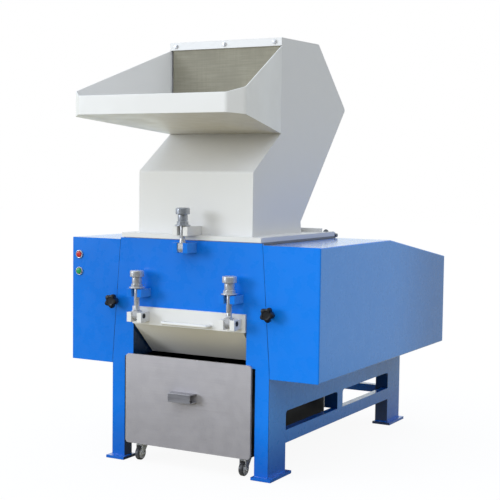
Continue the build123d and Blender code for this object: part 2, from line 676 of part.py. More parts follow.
def caster_wheel(x, depth):
    """A caster's wheel."""
    axle_depth = depth - CASTER_TRAIL
    tyre = small_round(WHEEL_RADIUS, 2 * WHEEL_HALF)
    wheel = Pos(x - WHEEL_HALF, FRONT_Y + axle_depth, WHEEL_RADIUS) * Rot(0, 90, 0) * tyre
    return wheel - rod_x(x - WHEEL_HALF - PAST, x + WHEEL_HALF + PAST, axle_depth, WHEEL_RADIUS,
                         AXLE_RADIUS + AXLE_CLEARANCE)


def star_knob(x, z):
    """A star knob: round lobes about a web, on a neck."""
    star = Circle(KNOB_WEB_RADIUS)
    for i in range(KNOB_LOBES):
        angle = math.radians(KNOB_TURN + 360 / KNOB_LOBES * i)
        star += Pos(KNOB_LOBE_CIRCLE * math.cos(angle), KNOB_LOBE_CIRCLE * math.sin(angle)) * Circle(
            KNOB_LOBE_RADIUS)
    back = KNOB_FRONT + KNOB_THICK
    grip = Pos(x, FRONT_Y + back, z) * Rot(90, 0, 0) * extrude(star, KNOB_THICK)
    return grip + front_round(x, back, -KNOB_GAP, z, KNOB_NECK_RADIUS)


def button(z):
    """A push button's cap."""
    front = -BEZEL_HEIGHT - BUTTON_PROUD
    return front_round(BUTTON_X, front, -KNOB_GAP - BUTTON_TRAVEL, z, BUTTON_RADIUS)


def button_bezels():
    """The ring around each push button."""
    inner = BUTTON_RADIUS + BUTTON_CLEARANCE
    rings = []
    for z in (RED_Z, GREEN_Z):
        ring = front_round(BUTTON_X, -BEZEL_HEIGHT, 0, z, BEZEL_RADIUS)
        rings.append(ring - front_round(BUTTON_X, -BEZEL_HEIGHT - PAST, -KNOB_GAP, z, inner))
    return Compound(rings)


parts = {
    "front_plate": front_plate(),
    "right_housing": housing(),
    "left_housing": mirrored(housing()),
    "chamber": chamber(),
    "chamber_flange": chamber_flange(),
    "right_side_frame": side_frame(FRONT_LEG_DEPTH),
    "left_side_frame": mirrored(side_frame(LEG_RETURN)),
    "foot_plates": foot_plates(),
    "rear_cover": rear_cover(),
    "rear_tie": rear_tie(),
    "hopper_shell": hopper_shell(),
    "hopper_flange": hopper_flange(),
    "feed_tray": feed_tray(),
    "clamp_strip": clamp_strip(),
    "strip_bolts": strip_bolts(),
    "curtain": curtain(),
    "curtain_head": curtain_head(),
    "gussets": gussets(),
    "hinge_pin": hinge_pin(),
    "cradle": cradle(),
    "cradle_handle": cradle_handle(),
    "bin_front": bin_front(),
    "bin_tub": bin_tub(),
    "bin_handle": bin_handle(),
    "red_button": button(RED_Z),
    "green_button": button(GREEN_Z),
    "button_bezels": button_bezels(),
    "left_knob": star_knob(KNOB_LEFT_X, KNOB_LEFT_Z),
    "right_knob": star_knob(KNOB_RIGHT_X, KNOB_RIGHT_Z),
}

shank_length = NUT_GAP + NUT_WASHER + NUT_FOOT_HEIGHT + NUT_NECK_HEIGHT / 2
for side, x in (("left", -CLAMP_X), ("right", CLAMP_X)):
    parts[side + "_bolt"] = swing_bolt(x, PIVOT_Z, SEAT_Z + shank_length)
    parts[side + "_nut"] = hand_nut(x, SEAT_Z)
    parts[side + "_ears"] = clevis(x, PIVOT_Z, -CRADLE_PLATE, EAR_BELOW, EAR_ABOVE)
    parts[side + "_seat"] = seat(x, SEAT_Z, SEAT_LOW_Z, 0)
parts["top_bolt"] = swing_bolt(0, TOP_PIVOT_Z, TOP_SEAT_Z + shank_length)
parts["top_nut"] = hand_nut(0, TOP_SEAT_Z)
parts["top_ears"] = clevis(0, TOP_PIVOT_Z, 0, TOP_EAR_BELOW, TOP_EAR_ABOVE)
parts["top_seat"] = seat(0, TOP_SEAT_Z, FLANGE_TOP_Z, HOPPER_FRONT)

for end, depth, half in (("front", CASTER_FRONT, CASTER_FRONT_X), ("rear", CASTER_REAR, CASTER_REAR_X)):
    for side, x in (("left", -half), ("right", half)):
        parts[end + "_" + side + "_fork"] = caster_fork(x, depth)
        parts[end + "_" + side + "_wheel"] = caster_wheel(x, depth)

for name, shape in parts.items():
    export_step(shape, "parts/" + name + ".step")
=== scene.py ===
import bmesh
import bpy
import json
import math
import numpy as np
from mathutils import Matrix, Vector


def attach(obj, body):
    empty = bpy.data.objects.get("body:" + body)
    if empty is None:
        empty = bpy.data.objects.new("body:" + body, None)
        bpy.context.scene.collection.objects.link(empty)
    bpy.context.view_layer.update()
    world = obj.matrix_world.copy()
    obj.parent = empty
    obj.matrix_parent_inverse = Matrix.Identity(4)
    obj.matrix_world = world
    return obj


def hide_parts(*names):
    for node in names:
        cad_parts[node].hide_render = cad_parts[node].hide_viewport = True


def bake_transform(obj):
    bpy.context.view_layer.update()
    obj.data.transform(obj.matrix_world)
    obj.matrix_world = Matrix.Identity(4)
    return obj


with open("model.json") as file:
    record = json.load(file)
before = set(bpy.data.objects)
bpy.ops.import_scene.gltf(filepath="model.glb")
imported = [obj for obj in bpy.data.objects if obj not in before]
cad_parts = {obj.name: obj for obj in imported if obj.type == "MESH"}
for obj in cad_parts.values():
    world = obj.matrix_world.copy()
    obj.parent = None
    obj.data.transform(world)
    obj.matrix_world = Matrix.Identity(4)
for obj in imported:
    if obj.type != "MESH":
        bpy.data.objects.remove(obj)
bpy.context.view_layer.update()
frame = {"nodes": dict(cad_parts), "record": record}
scene = bpy.context.scene
nodes = frame["nodes"]
slotOf = {part["node"]: part["material_slot"] for part in frame["record"]["subparts"]}
print("frame loaded:", len(nodes), "nodes")

cameraSettings = {
    "place": (2.08725, -3.81422, 1.02342),
    "azimuth": 28.93,   # degrees to the left of straight back
    "pitch": 3.75,      # degrees downwards
    "roll": 0.74,
    "lens": 82.73, "sensor": 36.0, "clipEnd": 100.0,
}


def placeCamera(s):
    az, pitch, roll = (math.radians(s[key]) for key in ("azimuth", "pitch", "roll"))
    forward = Vector((-math.sin(az) * math.cos(pitch), math.cos(az) * math.cos(pitch), -math.sin(pitch)))
    right = Vector((math.cos(az), math.sin(az), 0))
    up = right.cross(forward)
    rolledRight = right * math.cos(roll) + up * math.sin(roll)
    rolledUp = up * math.cos(roll) - right * math.sin(roll)
    data = bpy.data.cameras.new("camera")
    data.lens = s["lens"]
    data.sensor_width = s["sensor"]
    data.clip_end = s["clipEnd"]
    camera = bpy.data.objects.new("camera", data)
    turn = Matrix((rolledRight, rolledUp, -forward)).transposed().to_4x4()
    camera.matrix_world = Matrix.Translation(s["place"]) @ turn
    scene.collection.objects.link(camera)
    scene.camera = camera


placeCamera(cameraSettings)
scene.view_settings.view_transform = "Standard"
print("camera placed")


def addNode(tree, kind, **settings):
    node = tree.nodes.new("ShaderNode" + kind)
    for key, value in settings.items():
        setattr(node, key, value)
    return node


def setInputs(node, **values):
    for key, value in values.items():
        node.inputs[key.replace("_", " ")].default_value = value
    return node


def joinSocket(tree, value, socket):
    if hasattr(value, "is_linked"):
        tree.links.new(value, socket)
    elif isinstance(value, (int, float)) or len(value) == len(socket.default_value):
        socket.default_value = value
    else:
        socket.default_value = (*value, 1)


def mathNode(tree, operation, first, second=None, third=None):
    node = addNode(tree, "Math", operation=operation)
    for socket, value in zip(node.inputs, (first, second, third)):
        if value is not None:
            joinSocket(tree, value, socket)
    return node.outputs[0]


def rangeNode(tree, value, low, high, lowTo=0.0, highTo=1.0):
    node = addNode(tree, "MapRange", interpolation_type="SMOOTHSTEP")
    parts = {"Value": value, "From Min": low, "From Max": high, "To Min": lowTo, "To Max": highTo}
    for name, part in parts.items():
        joinSocket(tree, part, node.inputs[name])
    return node.outputs[0]


def mixColor(tree, share, first, second):
    node = addNode(tree, "Mix", data_type="RGBA")
    for socket, value in ((node.inputs[0], share), (node.inputs[6], first), (node.inputs[7], second)):
        joinSocket(tree, value, socket)
    return node.outputs[2]


def product(tree, first, second):
    return mathNode(tree, "MULTIPLY", first, second)


# The colour gives way to the other one by the product of two masks.
def tint(tree, color, other, first, second):
    return mixColor(tree, product(tree, first, second), color, other)


def splitVector(tree, vector):
    node = addNode(tree, "SeparateXYZ")
    tree.links.new(vector, node.inputs[0])
    return node.outputs


def noiseNode(tree, vector, scale, detail=2.0):
    node = setInputs(addNode(tree, "TexNoise"), Detail=detail)
    tree.links.new(vector, node.inputs["Vector"])
    joinSocket(tree, scale, node.inputs["Scale"])
    return node.outputs[0]


def lightNode(tree, kind, color, strength):
    node = addNode(tree, kind)
    joinSocket(tree, color, node.inputs["Color"])
    joinSocket(tree, strength, node.inputs["Strength"])
    return node.outputs[0]


def mixShader(tree, share, first, second):
    node = addNode(tree, "MixShader")
    joinSocket(tree, share, node.inputs[0])
    tree.links.new(first, node.inputs[1])
    tree.links.new(second, node.inputs[2])
    return node.outputs[0]


# Dull surfaces see the first shader, mirrors and glass the second, and the camera the third.
def shaderByRay(tree, dull, glossy, shown):
    path = addNode(tree, "LightPath").outputs
    mirrored = mathNode(tree, "MAXIMUM", path["Is Glossy Ray"], path["Is Transmission Ray"])
    return mixShader(tree, path["Is Camera Ray"], mixShader(tree, mirrored, dull, glossy), shown)


# A pair in brackets is a range: of a direction in the sky, and of metres on the floor.
roomSettings = {
    # light on dull surfaces, brighter at the front left
    "skyColor": (0.91, 0.98, 1.10), "skyHorizon": 0.45, "skyTop": 1.34, "skyRise": (0.1, 1.0),
    "skyRight": 0.72, "skyTurn": (0.0, 0.9),
    "windowDirection": (-0.08, -0.95, 0.3), "windowLevel": 0.46, "windowSpread": (0.1, 1.0),
    # what glossy surfaces show of the sky
    "mirrorColor": (0.92, 0.99, 0.97), "mirrorFront": 0.02, "mirrorBack": 1.0, "mirrorDepth": (-0.75, 0.35),
    "mirrorSide": 0.50, "mirrorTurn": (-0.2, 0.3), "mirrorTop": (0.2, 0.85),
    # the floor's light from left to right, what the camera sees of it, and what mirrors see
    "floorSize": 40.0, "floorHeight": -0.0005,
    "floorLeft": (0.46, 0.40, 0.23), "floorRight": (0.52, 0.49, 0.40), "floorTurn": (0.3, 1.2),
    "floorPale": (0.95, 0.95, 0.95), "floorWhite": 0.93,
    "floorMirrorDepth": (-1.2, 2.6), "floorMirrorTurn": (-0.5, 1.2),
    # the key lamp
    "keyDirection": (-0.70, -0.69, 0.19), "keyLevel": 0.345, "keyAngle": 20.0, "keyColor": (0.93, 1.0, 1.12),
}


def buildWorld(s):
    world = bpy.data.worlds.new("room")
    scene.world = world
    world.use_nodes = True
    tree = world.node_tree
    tree.nodes.clear()
    out = addNode(tree, "OutputWorld")
    direction = addNode(tree, "TexCoord").outputs["Generated"]
    x, y, z = splitVector(tree, direction)
    facing = addNode(tree, "VectorMath", operation="DOT_PRODUCT")
    tree.links.new(direction, facing.inputs[0])
    facing.inputs[1].default_value = s["windowDirection"]
    window = rangeNode(tree, facing.outputs["Value"], *s["windowSpread"], 0.0, s["windowLevel"])
    sky = rangeNode(tree, z, *s["skyRise"], s["skyHorizon"], s["skyTop"])
    sky = product(tree, sky, rangeNode(tree, x, *s["skyTurn"], 1.0, s["skyRight"]))
    dull = lightNode(tree, "Background", s["skyColor"], mathNode(tree, "ADD", sky, window))
    mirror = rangeNode(tree, y, *s["mirrorDepth"], s["mirrorFront"], s["mirrorBack"])
    mirror = product(tree, mirror, rangeNode(tree, x, *s["mirrorTurn"], 1.0, s["mirrorSide"]))
    mirror = mathNode(tree, "MAXIMUM", mirror, rangeNode(tree, z, *s["mirrorTop"]))
    glossy = lightNode(tree, "Background", s["mirrorColor"], mirror)
    shown = lightNode(tree, "Background", (1, 1, 1), 1)
    tree.links.new(shaderByRay(tree, dull, glossy, shown), out.inputs[0])
    world.cycles.sampling_method = "NONE"    # mirrors see the mirror sky alone


def buildFloor(s):
    mesh = bpy.data.meshes.new("floor")
    corners = np.array([(-1, -1), (1, -1), (1, 1), (-1, 1)]) * s["floorSize"] / 2
    points = np.column_stack((corners, np.full(4, s["floorHeight"])))
    mesh.from_pydata(points.tolist(), [], [(0, 1, 2, 3)])
    floor = bpy.data.objects.new("floor", mesh)
    scene.collection.objects.link(floor)
    material = bpy.data.materials.new("floorPaper")
    material.use_nodes = True
    tree = material.node_tree
    tree.nodes.clear()
    out = addNode(tree, "OutputMaterial")
    x, y, _ = splitVector(tree, addNode(tree, "TexCoord").outputs["Object"])
    warm = addNode(tree, "BsdfDiffuse")
    across = rangeNode(tree, x, *s["floorTurn"])
    tree.links.new(mixColor(tree, across, s["floorLeft"], s["floorRight"]), warm.inputs["Color"])
    pale = setInputs(addNode(tree, "BsdfDiffuse"), Color=(*s["floorPale"], 1))
    white = lightNode(tree, "Emission", (1, 1, 1), 1)
    level = rangeNode(tree, y, *s["floorMirrorDepth"], s["mirrorFront"], s["mirrorBack"])
    level = product(tree, level, rangeNode(tree, x, *s["floorMirrorTurn"], 1.0, s["mirrorSide"]))
    mirror = lightNode(tree, "Emission", s["mirrorColor"], level)
    shown = mixShader(tree, s["floorWhite"], pale.outputs[0], white)
    tree.links.new(shaderByRay(tree, warm.outputs[0], mirror, shown), out.inputs[0])
    mesh.materials.append(material)


def addKey(s):
    data = bpy.data.lights.new("key", "SUN")
    data.energy = math.pi * s["keyLevel"]
    data.angle = math.radians(s["keyAngle"])
    data.color = s["keyColor"]
    lamp = bpy.data.objects.new("key", data)
    lamp.rotation_euler = Vector(s["keyDirection"]).to_track_quat("Z", "Y").to_euler()
    scene.collection.objects.link(lamp)


buildWorld(roomSettings)
buildFloor(roomSettings)
addKey(roomSettings)
print("room, floor and key lamp set")

# Shared effects: each noise's detail and the part of its range that is used.
effectSettings = {
    "edgeWearAndHighlight": {"samples": 6, "edge": (0.01, 0.14), "detail": 4.0, "breaks": (0.3, 0.6), "share": (0.45, 1.0)},
    "sheetSurface": {"broadDetail": 3.0, "broadRange": (0.32, 0.68), "middleDetail": 4.0, "middleRange": (0.3, 0.7),
                     "heightDetail": 1.0, "peelShare": 0.03},
    "brushed": {"scale": 1.0, "detail": 5.0, "range": (0.28, 0.72)},
    "dust": {"lowShare": 0.7, "upwards": (0.7, 1.0), "upShare": 0.5, "scale": 55.0, "detail": 6.0,
             "spots": (0.35, 0.72)},
    "weave": {"squeeze": 0.06, "warpShare": 0.3, "weftShare": 0.7, "slubRange": (0.375, 0.625)},
}


def newGroup(name, inputs, outputs):
    tree = bpy.data.node_groups.new(name, "ShaderNodeTree")
    for way, labels in (("INPUT", inputs), ("OUTPUT", outputs)):
        for label in labels:
            kind = "Vector" if label in ("Vector", "Normal", "Stretch") else "Float"
            tree.interface.new_socket(label, in_out=way, socket_type="NodeSocket" + kind)
    return tree, tree.nodes.new("NodeGroupInput").outputs, tree.nodes.new("NodeGroupOutput").inputs


# Edge wear and painted highlight: where a rounded normal leaves the flat one an edge is near, and noise
# breaks the line up. The materials lighten their colour there, partly as wear and partly as a painted highlight.
def makeEdgeWearAndHighlight(s):
    tree, given, result = newGroup("edgeWearAndHighlight", ("Vector", "Radius", "Scale"), ("Mask", "Normal"))
    bevel = addNode(tree, "Bevel", samples=s["samples"])
    tree.links.new(given["Radius"], bevel.inputs["Radius"])
    dot = addNode(tree, "VectorMath", operation="DOT_PRODUCT")
    tree.links.new(bevel.outputs[0], dot.inputs[0])
    tree.links.new(addNode(tree, "NewGeometry").outputs["Normal"], dot.inputs[1])
    edge = rangeNode(tree, mathNode(tree, "SUBTRACT", 1.0, dot.outputs["Value"]), *s["edge"])
    noise = noiseNode(tree, given["Vector"], given["Scale"], s["detail"])
    broken = rangeNode(tree, noise, *s["breaks"], *s["share"])
    tree.links.new(product(tree, edge, broken), result["Mask"])
    tree.links.new(bevel.outputs[0], result["Normal"])
    return tree


# Sheet surface: broad clouds for colour, middling ones for gloss, and a fine peel with slow waves as a height.
def makeSheetSurface(s):
    tree, given, result = newGroup(
        "sheetSurface", ("Vector", "Broad Scale", "Middle Scale", "Peel Scale", "Wave Share"),
        ("Broad", "Middle", "Height"))
    place = given["Vector"]
    broad = noiseNode(tree, place, given["Broad Scale"], s["broadDetail"])
    middle = noiseNode(tree, place, given["Middle Scale"], s["middleDetail"])
    peel = noiseNode(tree, place, given["Peel Scale"], s["heightDetail"])
    wave = noiseNode(tree, place, given["Broad Scale"], s["heightDetail"])
    fine = product(tree, peel, s["peelShare"])
    tree.links.new(rangeNode(tree, broad, *s["broadRange"]), result["Broad"])
    tree.links.new(rangeNode(tree, middle, *s["middleRange"]), result["Middle"])
    tree.links.new(mathNode(tree, "MULTIPLY_ADD", wave, given["Wave Share"], fine), result["Height"])
    return tree


# Brushed lines: noise on coordinates that are squeezed along the brushing.
def makeBrushed(s):
    tree, given, result = newGroup("brushed", ("Vector", "Stretch"), ("Streak",))
    stretch = addNode(tree, "Mapping")
    tree.links.new(given["Vector"], stretch.inputs["Vector"])
    tree.links.new(given["Stretch"], stretch.inputs["Scale"])
    lines = noiseNode(tree, stretch.outputs[0], s["scale"], s["detail"])
    tree.links.new(rangeNode(tree, lines, *s["range"]), result["Streak"])
    return tree


# Workshop dust: on faces that look up, and on everything near the floor, broken up by noise.
def makeDust(s):
    tree, given, result = newGroup("dust", ("Vector", "Normal", "Reach"), ("Mask",))
    low = rangeNode(tree, splitVector(tree, given["Vector"])[2], 0.0, given["Reach"], s["lowShare"], 0.0)
    up = rangeNode(tree, splitVector(tree, given["Normal"])[2], *s["upwards"], 0.0, s["upShare"])
    spots = rangeNode(tree, noiseNode(tree, given["Vector"], s["scale"], s["detail"]), *s["spots"])
    tree.links.new(product(tree, mathNode(tree, "MAXIMUM", low, up), spots), result["Mask"])
    return tree


# Plain weave: two crossed waves of threads, one over and one under, plus slubs along each thread.
def makeWeave(s):
    tree, given, result = newGroup("weave", ("Vector", "Pitch", "Slub"), ("Height", "Slubs"))
    x, y, _ = splitVector(tree, given["Vector"])
    turns = mathNode(tree, "DIVIDE", math.pi, given["Pitch"])
    across, along = (mathNode(tree, "SINE", product(tree, part, turns)) for part in (x, y))
    tree.links.new(mathNode(tree, "ABSOLUTE", product(tree, across, along)), result["Height"])
    slubs = []
    for squeeze in ((1.0, s["squeeze"], 1.0), (s["squeeze"], 1.0, 1.0)):
        thread = setInputs(addNode(tree, "Mapping"), Scale=squeeze)
        tree.links.new(given["Vector"], thread.inputs["Vector"])
        slubs.append(noiseNode(tree, thread.outputs[0], given["Slub"]))
    warp = product(tree, slubs[0], s["warpShare"])
    both = mathNode(tree, "MULTIPLY_ADD", slubs[1], s["weftShare"], warp)
    tree.links.new(rangeNode(tree, both, *s["slubRange"]), result["Slubs"])
    return tree


makers = {"edgeWearAndHighlight": makeEdgeWearAndHighlight, "sheetSurface": makeSheetSurface, "brushed": makeBrushed,
          "dust": makeDust, "weave": makeWeave}
groups = {name: make(effectSettings[name]) for name, make in makers.items()}


def useGroup(tree, name, **values):
    node = addNode(tree, "Group", node_tree=groups[name])
    for key, value in values.items():
        joinSocket(tree, value, node.inputs[key.replace("_", " ")])
    return node.outputs


def startMaterial(name, **values):
    material = bpy.data.materials.new(name)
    material.use_nodes = True
    tree = material.node_tree
    shader = setInputs(tree.nodes["Principled BSDF"], **values)
    return material, tree, shader.inputs, addNode(tree, "TexCoord").outputs


# What every coat starts from; a coat's own settings replace these.
coatShared = {"broadScale": 3.0, "middleScale": 22.0, "peelScale": 420.0, "waveShare": 0.8, "edgeScale": 40.0,
              "dustReach": 0.16}


def startCoat(tree, coords, s):
    s, place = {**coatShared, **s}, coords["Object"]
    surface = useGroup(tree, "sheetSurface", Vector=place, Broad_Scale=s["broadScale"],
                       Middle_Scale=s["middleScale"], Peel_Scale=s["peelScale"], Wave_Share=s["waveShare"])
    wearAndHighlight = useGroup(tree, "edgeWearAndHighlight", Vector=place, Radius=s["edgeRadius"], Scale=s["edgeScale"])
    return place, surface, wearAndHighlight, useGroup(tree, "dust", Vector=place, Normal=coords["Normal"], Reach=s["dustReach"])


def finishCoat(tree, shader, color, rough, height, normal, s):
    bump = setInputs(addNode(tree, "Bump"), Strength=s["bump"], Distance=s["bumpDistance"])
    tree.links.new(height, bump.inputs["Height"])
    if normal is not None:
        tree.links.new(normal, bump.inputs["Normal"])
    for name, value in (("Base Color", color), ("Roughness", rough), ("Normal", bump.outputs[0])):
        tree.links.new(value, shader[name])


# sideFrom and sideBelow say where the side's colour is.
bluePaintSettings = {
    # edge is partly wear and partly a painted highlight along the edges
    "color": (0.003, 0.178, 0.735), "cloud": (0.005, 0.196, 0.80), "edge": (0.10, 0.33, 0.86), "edgeShare": 0.55,
    "dust": (0.30, 0.36, 0.46), "dustShare": 0.05, "gloss": (0.24, 0.36), "coat": 1.0, "coatRoughness": 0.14,
    "specular": 0.15, "edgeRadius": 0.0016, "peelScale": 420.0, "bump": 0.16, "bumpDistance": 0.0012,
    # right is a painted light on the front towards the right, and low is painted shade near the floor
    "waveShare": 0.8, "right": (0.006, 0.238, 0.92), "low": (0.003, 0.125, 0.58),
    # side is a painted sheen on sideways faces, and the side's back colour is painted shade towards the back
    "side": (0.065, 0.31, 0.85), "sideBackShade": (0.025, 0.185, 0.56), "sideFrom": (-0.474, -0.472),
    # the last two colours are painted shade: in the seams, and on inward faces and the rear posts' front faces
    "sideBelow": (1.05, 1.06), "seamShade": (0.003, 0.04, 0.18), "insideShade": (0.005, 0.012, 0.032),
}
whitePaintSettings = {
    # edge is partly wear and partly a painted highlight along the edges
    "color": (0.815, 0.80, 0.765), "cloud": (0.84, 0.83, 0.80), "edge": (0.90, 0.90, 0.88), "edgeShare": 0.6,
    "dust": (0.62, 0.60, 0.54), "dustShare": 0.18, "gloss": (0.28, 0.42), "coat": 0.22, "coatRoughness": 0.22,
    "specular": 0.2, "edgeRadius": 0.0018, "peelScale": 380.0, "bump": 0.3, "bumpDistance": 0.0012,
    # under is a painted warm shade on faces that look down
    "waveShare": 0.7, "under": (0.70, 0.66, 0.57),
    # side and the side's back colour are painted shade on the hopper's sideways faces
    "side": (0.755, 0.745, 0.725), "sideBackShade": (0.755, 0.745, 0.725), "sideFrom": (-0.246, -0.242),
    "sideBelow": (1.165, 1.175),
}
# Ranges of a face's direction or of a place in metres, and the zones' shares.
zoneSettings = {
    "dustRoughness": 0.3,
    "frontFaces": (-0.9, -0.5), "rightwards": (-0.05, 0.42), "rightShare": 0.85,
    "sideFaces": (0.8, 0.97), "backwards": (0.1, 0.68),
    "underFaces": (-0.6, -0.2), "underwards": (-0.3, 0.05),
    "lowHeights": (0.01, 0.22), "lowShare": 0.9,
    "inwardFaces": (-0.2, -0.1), "inwardShare": 0.9,
    "postFaces": (-0.9, -0.7), "postShare": 0.85, "postDepths": (0.0, 0.02),
}
seamSettings = {
    "topX": 0.286, "topZ": 0.796, "shoulderX": 0.318, "shoulderZ": 0.375, "half": 0.0005, "fade": 1.6,
    "front": -0.4685,
}


# Zones of painted light and shade: painted light to the right of the front, painted sheen and shade
# on sideways faces, painted warm shade on faces that look down at the right, and painted shade near the floor.
def paintZones(tree, color, s, place, normal, zone):
    x, y, z = place
    # Painted light: the front grows paler towards the right.
    if "right" in s:
        facing = rangeNode(tree, normal[1], *zone["frontFaces"], 1.0, 0.0)
        ramp = rangeNode(tree, x, *zone["rightwards"], 0.0, zone["rightShare"])
        color = tint(tree, color, s["right"], facing, ramp)
    # Painted sheen and shade on sideways faces, from the front towards the back.
    sideways = rangeNode(tree, mathNode(tree, "ABSOLUTE", normal[0]), *zone["sideFaces"])
    sideLightAndShade = mixColor(tree, rangeNode(tree, y, *zone["backwards"]), s["side"], s["sideBackShade"])
    below = rangeNode(tree, z, *s["sideBelow"], 1.0, 0.0)
    where = mathNode(tree, "MAXIMUM", rangeNode(tree, y, *s["sideFrom"]), below)
    color = tint(tree, color, sideLightAndShade, sideways, where)
    # Painted warm shade on faces that look down at the right.
    if "under" in s:
        down = rangeNode(tree, normal[2], *zone["underFaces"], 1.0, 0.0)
        color = tint(tree, color, s["under"], down, rangeNode(tree, x, *zone["underwards"]))
    # Painted shade: darker near the floor.
    if "low" in s:
        color = mixColor(tree, rangeNode(tree, z, *zone["lowHeights"], zone["lowShare"], 0.0), color, s["low"])
    return color


# The front plate's slanted sides: the seam's x falls from the shoulder's to the top's with height.
def seamLines(tree, color, s, place, t):
    x, y, z = place
    slope = (t["topX"] - t["shoulderX"]) / (t["topZ"] - t["shoulderZ"])
    rise = mathNode(tree, "MAXIMUM", mathNode(tree, "SUBTRACT", z, t["shoulderZ"]), 0.0)
    seamX = mathNode(tree, "MULTIPLY_ADD", rise, slope, t["shoulderX"])
    away = mathNode(tree, "ABSOLUTE", mathNode(tree, "SUBTRACT", mathNode(tree, "ABSOLUTE", x), seamX))
    near = rangeNode(tree, away, t["half"], t["half"] * t["fade"], 1.0, 0.0)
    # Painted shade in the seam gaps between the front plate and the housings.
    return tint(tree, color, s["seamShade"], near, mathNode(tree, "LESS_THAN", y, t["front"]))


# Painted shade: faces that look towards the machine's middle are painted dark, and so are the rear posts' front
# faces.
def paintInsideShade(tree, color, s, place, normal, zone):
    inwardness = product(tree, place[0], normal[0])
    inward = rangeNode(tree, inwardness, *zone["inwardFaces"], zone["inwardShare"], 0.0)
    forward = rangeNode(tree, normal[1], *zone["postFaces"], zone["postShare"], 0.0)
    forward = product(tree, forward, rangeNode(tree, place[1], *zone["postDepths"]))
    return mixColor(tree, mathNode(tree, "MAXIMUM", inward, forward), color, s["insideShade"])


def paintMaterial(name, s, seams=False, darkInside=False):
    material, tree, shader, coords = startMaterial(
        name, Coat_Weight=s["coat"], Coat_Roughness=s["coatRoughness"], Specular_IOR_Level=s["specular"])
    place, surface, wearAndHighlight, dust = startCoat(tree, coords, s)
    color = mixColor(tree, surface["Broad"], s["color"], s["cloud"])
    # Lighter edges: partly wear, partly a painted highlight.
    color = tint(tree, color, s["edge"], wearAndHighlight["Mask"], s["edgeShare"])
    color = tint(tree, color, s["dust"], dust["Mask"], s["dustShare"])
    placeParts, normalParts = splitVector(tree, place), splitVector(tree, coords["Normal"])
    color = paintZones(tree, color, s, placeParts, normalParts, zoneSettings)
    if seams:
        color = seamLines(tree, color, s, placeParts, seamSettings)
    if darkInside:
        color = paintInsideShade(tree, color, s, placeParts, normalParts, zoneSettings)
    rough = rangeNode(tree, surface["Middle"], 0.0, 1.0, *s["gloss"])
    rough = mathNode(tree, "MULTIPLY_ADD", dust["Mask"], zoneSettings["dustRoughness"], rough)
    finishCoat(tree, shader, color, rough, surface["Height"], wearAndHighlight["Normal"], s)
    return material


# What the metals have in common; lowShade dims the lower part of a sheet.
metalShared = {
    "edgeRadius": 0.0009, "broadScale": 4.0, "middleScale": 30.0, "cloudShare": 0.35, "bumpDistance": 0.0008,
    "dust": (0.36, 0.35, 0.33), "dustReach": 0.07, "dustShare": 0.25,
    "lowShade": 1.0, "lowHeights": (0.06, 0.4), "lowShare": 0.8, "bump": 0.06,
}
metalSettings = {
    "binSheet": {
        "color": (0.52, 0.49, 0.50), "streak": (0.57, 0.54, 0.55), "edge": (0.62, 0.62, 0.66),
        "metallic": (0.3, 0.4), "gloss": (0.38, 0.5), "stretch": (5.0, 300.0, 700.0), "lowShade": 0.76},
    # The handle's pale edge colour and wide edge radius are mostly a painted highlight on its top edge.
    "handleSheet": {
        "color": (0.19, 0.185, 0.20), "streak": (0.38, 0.37, 0.39), "edge": (0.92, 0.91, 0.93),
        "metallic": (0.45, 0.6), "gloss": (0.28, 0.4), "stretch": (8.0, 300.0, 700.0), "bump": 0.08,
        "edgeRadius": 0.0022},
    # The tub's steel is darkened to near black: painted shade seen through the frame's windows.
    "shadedTubSheet": {
        "color": (0.045, 0.042, 0.042), "streak": (0.085, 0.078, 0.075), "edge": (0.4, 0.4, 0.42),
        "metallic": (0.5, 0.7), "gloss": (0.4, 0.55), "stretch": (300.0, 5.0, 700.0), "lowShade": 0.9},
    "rolledSteel": {
        "color": (0.20, 0.21, 0.24), "streak": (0.32, 0.33, 0.36), "edge": (0.6, 0.6, 0.62),
        "metallic": (0.6, 0.9), "gloss": (0.3, 0.5), "stretch": (12.0, 60.0, 300.0), "bump": 0.1},
    "zincPlate": {
        "color": (0.60, 0.60, 0.61), "streak": (0.76, 0.76, 0.77), "edge": (0.95, 0.95, 0.96),
        "metallic": (0.45, 0.62), "gloss": (0.22, 0.36), "stretch": (260.0, 260.0, 1400.0), "bump": 0.08},
    # A darker copy of the zinc for the top nut: painted shade.
    "shadedZinc": {
        "color": (0.36, 0.38, 0.42), "streak": (0.50, 0.52, 0.56), "edge": (0.85, 0.86, 0.88),
        "metallic": (0.4, 0.55), "gloss": (0.26, 0.4), "stretch": (260.0, 260.0, 1400.0), "bump": 0.08},
    "casterPlate": {
        "color": (0.80, 0.81, 0.82), "streak": (0.88, 0.89, 0.90), "edge": (0.97, 0.97, 0.98),
        "metallic": (0.3, 0.45), "gloss": (0.12, 0.24), "stretch": (300.0, 300.0, 900.0)},
    "bezelChrome": {
        "color": (0.68, 0.69, 0.70), "streak": (0.76, 0.77, 0.78), "edge": (0.95, 0.95, 0.95),
        "metallic": (0.5, 0.6), "gloss": (0.16, 0.26), "stretch": (500.0, 500.0, 500.0), "bump": 0.03},
    "darkPin": {
        "color": (0.012, 0.012, 0.014), "streak": (0.03, 0.03, 0.034), "edge": (0.3, 0.3, 0.32),
        "metallic": (0.6, 0.8), "gloss": (0.3, 0.45), "stretch": (300.0, 500.0, 500.0)},
}


